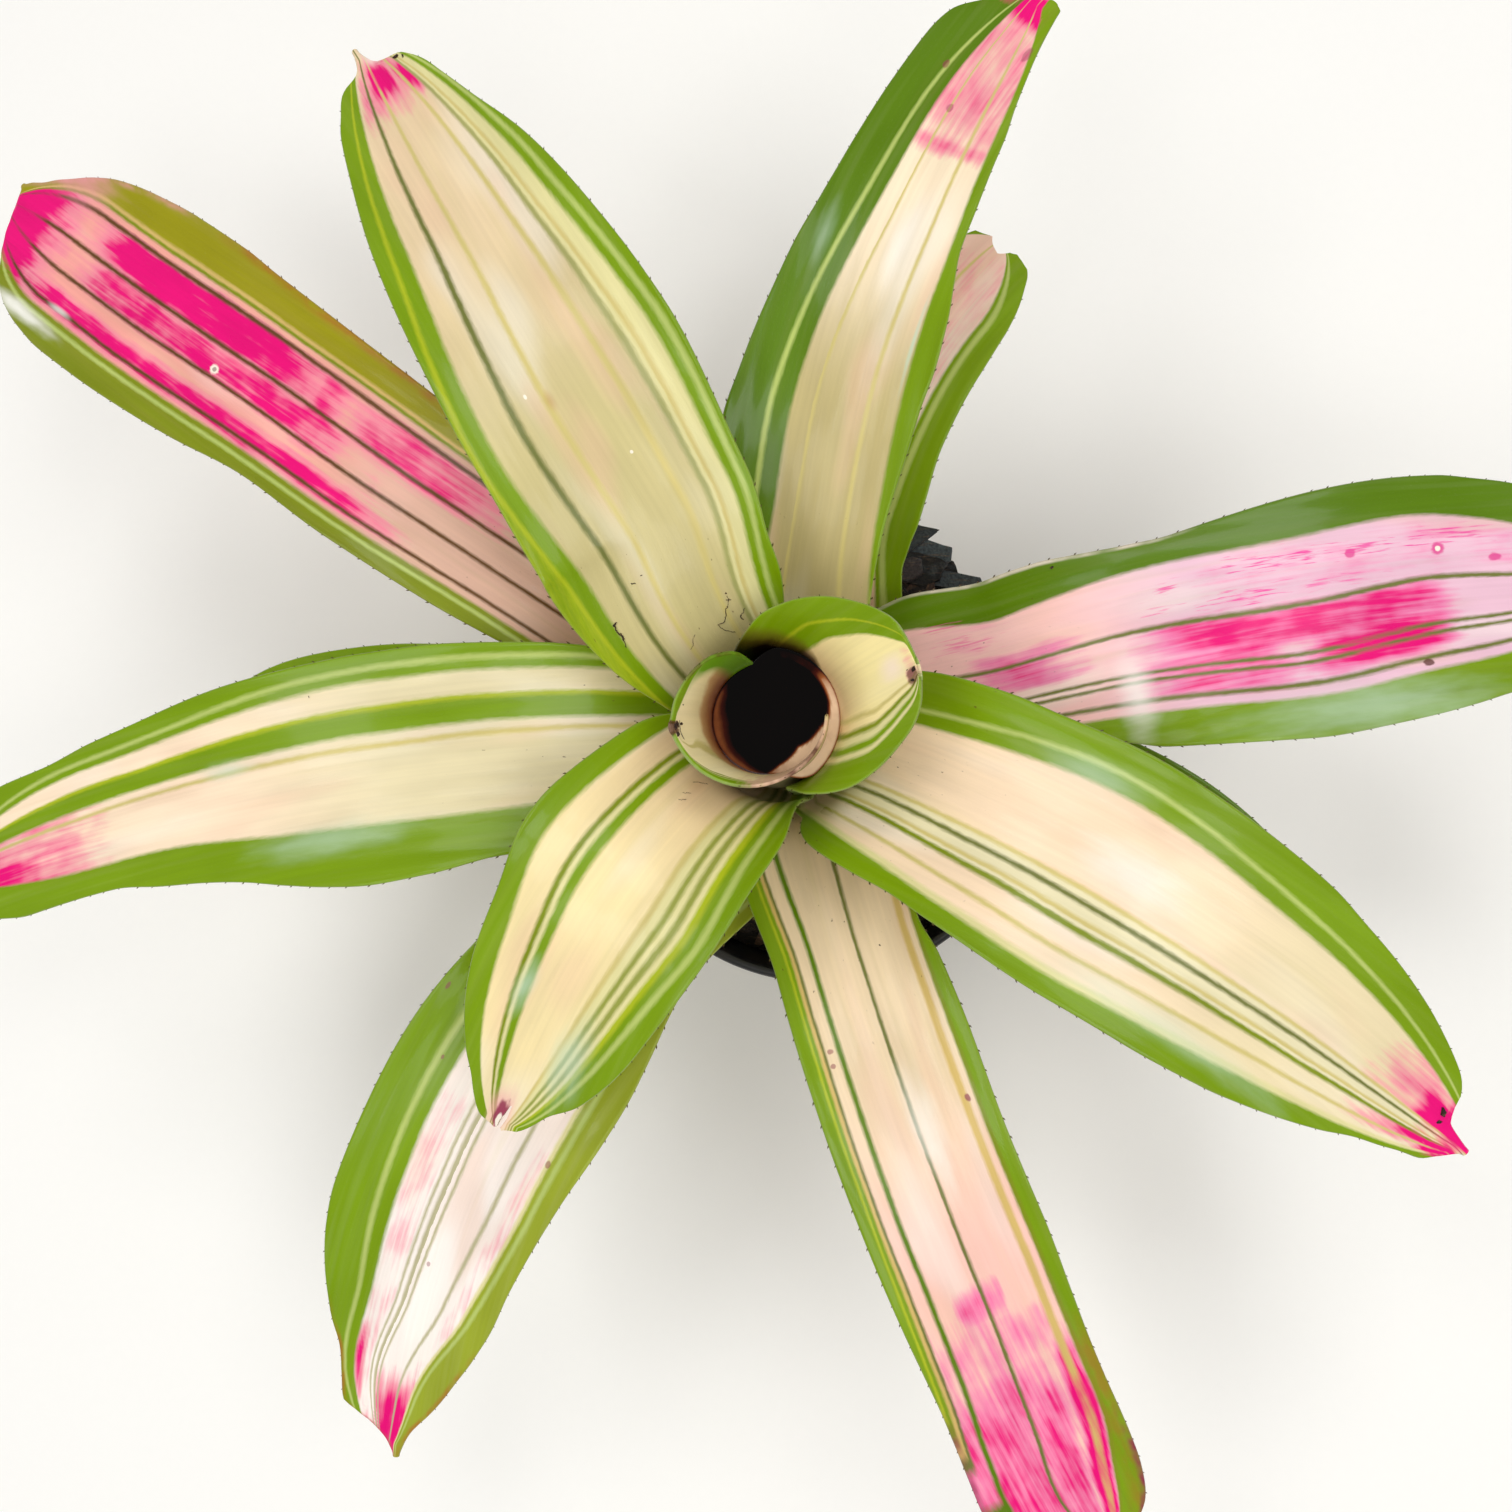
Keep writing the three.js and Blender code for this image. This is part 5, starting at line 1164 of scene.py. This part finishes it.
scraps = {
    # threads dried onto the leaves: the leaf's number, thickness, and the places they pass, each a share of the
    # leaf's length and a place across it
    "threads": [
        (4, 0.34, [(0.2395, -0.409), (0.2385, -0.406)]),
        (4, 0.2, [(0.2325, -0.385), (0.231, -0.408), (0.2305, -0.43)]),
        (4, 0.12, [(0.236, -0.408), (0.231, -0.408), (0.225, -0.383)]),
        (4, 0.17, [(0.225, -0.385), (0.222, -0.342), (0.216, -0.325), (0.21, -0.275), (0.21, -0.183)]),
        (4, 0.15, [(0.21, -0.183), (0.202, -0.217), (0.196, -0.27), (0.191, -0.333)]),
        (4, 0.13, [(0.216, -0.547), (0.213, -0.533), (0.209, -0.483)]),
        (4, 0.24, [(0.21, -0.487), (0.2065, -0.48), (0.203, -0.492)]),
        (4, 0.1, [(0.215, 0.1), (0.213, 0.15), (0.208, 0.192), (0.206, 0.25)]),
        (4, 0.42, [(0.27, 0.667), (0.2695, 0.69), (0.269, 0.712)]),
        (4, 0.3, [(0.2695, 0.69), (0.265, 0.717), (0.261, 0.717)]),
        (4, 0.45, [(0.2625, 0.7), (0.258, 0.712), (0.2565, 0.722)]),
        (4, 0.2, [(0.258, 0.715), (0.254, 0.733), (0.2515, 0.75)]),
        (4, 0.2, [(0.29, 0.34), (0.289, 0.32), (0.288, 0.3)]),
        (3, 0.1, [(0.345, -0.2), (0.336, -0.16), (0.328, -0.12), (0.32, -0.08)]),
        (3, 0.1, [(0.376, -0.17), (0.371, -0.142), (0.363, -0.11)]),
        (3, 0.1, [(0.39, -0.14), (0.386, -0.117), (0.379, -0.09)]),
        (1, 0.16, [(0.97, -0.62), (0.985, -0.4), (0.998, -0.1)]),
        (1, 0.14, [(0.955, -0.5), (0.965, -0.3), (0.96, -0.1)]),
    ],
    # crumbs: the leaf's number, share, place across, and half the length
    "crumbs": [(1, 0.99, -0.45, 1.1), (1, 0.975, -0.55, 0.8), (1, 0.985, -0.1, 0.9), (1, 0.95, -0.42, 0.6),
               (1, 0.93, -0.6, 0.35), (2, 0.99, -0.2, 0.8), (2, 0.976, -0.32, 0.6), (2, 0.965, -0.1, 0.3),
               (5, 0.948, 0.32, 1.2), (5, 0.953, 0.22, 0.8), (4, 0.956, -0.78, 0.9), (4, 0.95, -0.85, 0.6),
               (4, 0.292, 0.22, 0.3), (10, 0.37, 0.93, 0.6), (6, 0.5, -0.72, 0.4), (8, 0.285, 0.4, 0.35)],
    "sides": 6, "steps": 5, "wander": 0.12,
    "brown": "#26130a", "worn": "#6a4a2a",
}


def onUpperFace(order, share, across, length):
    # a point on the upper face of a leaf, and the way out of it
    leaf, steps = leafTable[order], np.array([-1, 0, 1])
    shares, places = np.meshgrid(share + steps * 0.002, across + steps * 0.01, indexing="ij")
    points, half, place = leafSurface(leaf, order, shares, places)
    out = unit(np.cross(points[2, 1] - points[0, 1], points[1, 2] - points[1, 0]))
    uneven = unevenness(leaf, order, (place * half)[1, 1], share * length, np.linalg.norm(points[1, 1, :2]))
    thick = blend(plant["thickness"], plant["edgeThickness"], across ** 2)
    return points[1, 1] + out * (uneven + thick / 2), out


def makeScraps():
    # Scraps of dried moss and root washed up from the mix: dark matt brown, paler where they are worn
    material, add = newMaterial("dried_moss_and_root")
    spot = add("TexCoord").outputs["Object"]
    mottle = add("TexNoise", {"Vector": spot, "Scale": 1 / (0.5 * mm), "Detail": 3.0})
    worn = add("MapRange", [mottle, 0.5, 0.72, 0, 0.8])
    brown, pale = fromHex(scraps["brown"]), fromHex(scraps["worn"])
    colour = add("Mix", {0: worn, 6: brown, 7: pale}, data_type="RGBA")
    finishMaterial(add, colour, add("MapRange", [mottle, 0, 1, 0.7, 0.95]), mottle, 0.5, 0.1)
    chance = np.random.default_rng(8)
    vertices, faces = [], []

    def join(points, corners):
        offset = sum(map(len, vertices))
        faces.extend(tuple(offset + i for i in face) for face in corners)
        vertices.append(points + middle)

    sides, turns = scraps["sides"], np.arange(scraps["sides"]) * 2 * math.pi / scraps["sides"]
    for number, thick, path in scraps["threads"]:
        order = number - 1
        length = leafLength(order)
        line = splineAt([onUpperFace(order, *spot, length)[0] for spot in path],
                        np.linspace(0, 1, scraps["steps"] * (len(path) - 1) + 1))
        out = onUpperFace(order, *path[0], length)[1]
        line = line + chance.normal(0, scraps["wander"], line.shape) * (1 - np.abs(out)) + 0.8 * thick / 2 * out
        ahead = unit(np.gradient(line, axis=0))
        side = unit(np.cross(ahead, out))
        up = np.cross(side, ahead)
        girth = thick / 2 * chance.uniform(0.7, 1.15, len(line))
        girth[[0, -1]] *= 0.35
        rings = line[:, None] + girth[:, None, None] * (np.cos(turns)[None, :, None] * side[:, None]
                                                        + np.sin(turns)[None, :, None] * up[:, None])
        index = np.arange(len(line) * sides).reshape(len(line), sides)
        turned = np.roll(index, -1, axis=1)
        corners = np.stack([index[:-1], turned[:-1], turned[1:], index[1:]], axis=-1).reshape(-1, 4).tolist()
        corners += [index[0, ::-1], index[-1]]
        join(rings.reshape(-1, 3), corners)
    for number, share, across, size in scraps["crumbs"]:
        order = number - 1
        length = leafLength(order)
        spot, out = onUpperFace(order, share, across, length)
        hull = hullOf(barkChip(chance, size))
        hull.verts.index_update()
        lifted = Vector((0, 0, 1)).rotation_difference(Vector(out)).to_matrix()
        turned = np.array(lifted) @ tiltedBy(chance, 0.15)
        join(np.array([v.co for v in hull.verts]) @ turned.T + spot + 0.15 * size * out,
            [tuple(v.index for v in face.verts) for face in hull.faces])
        hull.free()
    addPiece("dried_scraps", np.vstack(vertices), faces, material, "bark_mix", (), False)


makeScraps()
print("scraps done")


water = {
    "depth": 24, "sides": 180,
    "meniscus": 0.12, "meniscusWidth": 1,  # the film climbs the leaf at its edge
    # bearings between which the water lies against the second leaf, outside the first one's edges
    "wideFrom": 277, "wideTo": 474, "wideEase": 34,
    "ring": 0.3, "ringDepth": 0.42,  # width and depth of the brown line where the film meets the leaf
    "black": "#030101", "tea": "#3d0f05", "amber": "#8e5028", "flesh": "#e6c6a4",
    # by bearing in degrees: radius of the black deep, how far its edge fades, and how deep it is beyond that
    "deep": [(0, 11.8, 1.2, 0), (15, 12.7, 0.9, 0.05), (36, 12.9, 0.9, 0.3), (48, 13, 1.2, 0.8),
             (93, 12.9, 1.6, 0.95), (127, 12, 1.6, 0.8), (150, 9.4, 3.4, 0.42), (185, 7.6, 4.6, 0.38),
             (238, 9.2, 3, 0.4), (268, 11, 1, 0.4), (284, 9.4, 0.9, 0.1), (317, 8.1, 0.9, 0), (350, 10.5, 1, 0),
             (360, 11.8, 1.2, 0)],
}


def makeWaterMaterial():
    # Rain water steeped in old leaves: black where deep, red-brown then amber where the pale leaf shows through
    material, add = newMaterial("steeped_rain_water")
    deepness = add("Attribute", attribute_name="deepness").outputs["Fac"]
    spot = add("TexCoord").outputs["Object"]
    drift = add("TexNoise", {"Vector": spot, "Scale": 1 / (3 * mm), "Detail": 3.0})
    murk = add("MapRange", [drift, 0, 1, -0.12, 0.12])
    depth = add("Math", [deepness, murk])
    tones = [(0.0, "flesh"), (0.34, "amber"), (0.62, "tea"), (0.9, "black")]
    colour, _ = fillRamp(add("ValToRGB", [depth]), [(at, fromHex(water[tone])) for at, tone in tones])
    film = add("TexNoise", {"Vector": spot, "Scale": 1 / (7 * mm), "Detail": 2.0})
    rough = add("MapRange", [film, 0, 1, 0.02, 0.07])
    finishMaterial(add, colour, rough, film, 0.05, 0.3, {"IOR": 1.333, "Specular IOR Level": 0.3})
    return material


def wallRadii(order, levels):
    # where the water meets a cup leaf's wall at these heights
    place = evenSpline(midribCorners(leafTable[order], order), np.linspace(0, 1, 400))[0]
    return np.interp(levels, place[:, 1], place[:, 0]) - plant["thickness"] / 2 + 0.05


def makeWater():
    low, top = plant["waterLevel"] - water["depth"], plant["waterLevel"]
    levels = np.linspace(low + 1.5, top - 0.4, 16)
    radii, rim = wallRadii(0, levels), float(wallRadii(0, top))
    line = [(0, low), (radii[0] - 2.2, low), (radii[0] - 0.7, low + 0.4)] + list(zip(radii, levels))
    climb, width = water["meniscus"], water["meniscusWidth"]
    for inset in np.concatenate([np.linspace(0, width, 8), np.linspace(width, rim, 30)[1:-1]]):
        line.append((rim - inset, top - climb + climb * math.exp(-3.2 * inset / width)))
    line.append((0, top - climb))
    vertices, faces = turnProfile([np.array(p, float) for p in line], water["sides"])
    bearing = np.degrees(np.arctan2(vertices[:, 1], vertices[:, 0])) % 360
    ahead = bearing + 360 * (bearing < 180)
    wide = ease(ahead, water["wideFrom"], water["wideFrom"] + water["wideEase"]) \
        * (1 - ease(ahead, water["wideTo"] - water["wideEase"], water["wideTo"]))
    wider = wallRadii(1, vertices[:, 2]) / wallRadii(0, vertices[:, 2])
    vertices[:, :2] *= blend(1, wider, wide)[:, None]
    reach = np.linalg.norm(vertices[:, :2], axis=1)
    places, edges, fades, least = zip(*water["deep"])
    deep = 1 - (reach - np.interp(bearing, places, edges)) / np.interp(bearing, places, fades)
    toWall = blend(1, wider, wide) * rim - reach
    ringed = water["ringDepth"] * np.exp(-(toWall / water["ring"]) ** 2)
    piece = addPiece("cup_water", vertices + middle, faces, makeWaterMaterial(), "tank_water", ["tank_water"])
    addValues(piece, "deepness", np.clip(np.clip(deep, np.interp(bearing, places, least), 1) + ringed, 0, 1))


makeWater()
print("water done")


# Plain pale floor, one large soft key light and wide fill, and the camera above the plant.
studio = {
    "floorTone": "#fbfaf7", "floorSize": 8.0,
    "skyTone": "#fffdf8", "skyStrength": 0.36,
    "cameraPlace": (30.312, -30.990, 462.093),
    "cameraAxes": ((0.99277067, 0.01056801, 0.11956048), (0, 0.9961163, -0.08804722),
                   (-0.12002663, 0.0874107, 0.98891505)),
    "focal": 36.095, "sensor": 36,
    # bearing and tilt from overhead in degrees, size in metres, power in watts; all round, none straight above
    "softboxes": [(-24, 27, 0.85, 11), (22, 30, 0.7, 5.5), (84, 28, 0.75, 7), (140, 30, 0.6, 4),
                  (188, 28, 0.75, 7), (232, 27, 0.7, 6), (290, 30, 0.7, 6)],
    "aim": (0, 0, 0.13), "lampDistance": 2.3,
}


def makeFloorMaterial():
    # Matt seamless paper: even and pale, with a hint of fibre
    material, add = newMaterial("seamless_paper")
    spot = add("TexCoord").outputs["Object"]
    fibre = add("TexNoise", {"Vector": spot, "Scale": 350.0, "Detail": 3.0})
    shade = add("MapRange", [fibre, 0, 1, 0.985, 1])
    colour = add("VectorMath", {0: fromHex(studio["floorTone"])[:3], "Scale": shade}, operation="SCALE")
    finishMaterial(add, colour, 0.9)
    return material


half = studio["floorSize"] / 2
corners = [(-half, -half, 0), (half, -half, 0), (half, half, 0), (-half, half, 0)]
floorMesh = bpy.data.meshes.new("floor")
floorMesh.from_pydata(corners, [], [(0, 1, 2, 3)])
floorMesh.materials.append(makeFloorMaterial())
floor = bpy.data.objects.new("floor", floorMesh)
scene.collection.objects.link(floor)

world = bpy.data.worlds.new("studio")
world.use_nodes = True
scene.world = world
sky = world.node_tree.nodes["Background"]
sky.inputs["Color"].default_value = fromHex(studio["skyTone"])
sky.inputs["Strength"].default_value = studio["skyStrength"]

for i, (bearing, tilt, size, power) in enumerate(studio["softboxes"]):
    light = bpy.data.lights.new(f"softbox_{i}", "AREA")
    light.size, light.energy = size, power
    lamp = bpy.data.objects.new(light.name, light)
    turn = Matrix.Rotation(math.radians(bearing), 4, "Z") @ Matrix.Rotation(math.radians(tilt), 4, "Y")
    away = Matrix.Translation((0, 0, studio["lampDistance"]))
    lamp.matrix_world = Matrix.Translation(studio["aim"]) @ turn @ away
    scene.collection.objects.link(lamp)

camera = bpy.data.objects.new("camera", bpy.data.cameras.new("camera"))
camera.data.sensor_width = studio["sensor"]
camera.data.lens = studio["focal"]
camera.data.clip_start = 0.01
turn = Matrix(studio["cameraAxes"]).to_4x4()
camera.matrix_world = Matrix.Translation(Vector(studio["cameraPlace"]) * mm) @ turn
scene.collection.objects.link(camera)
scene.camera = camera
print("studio done")
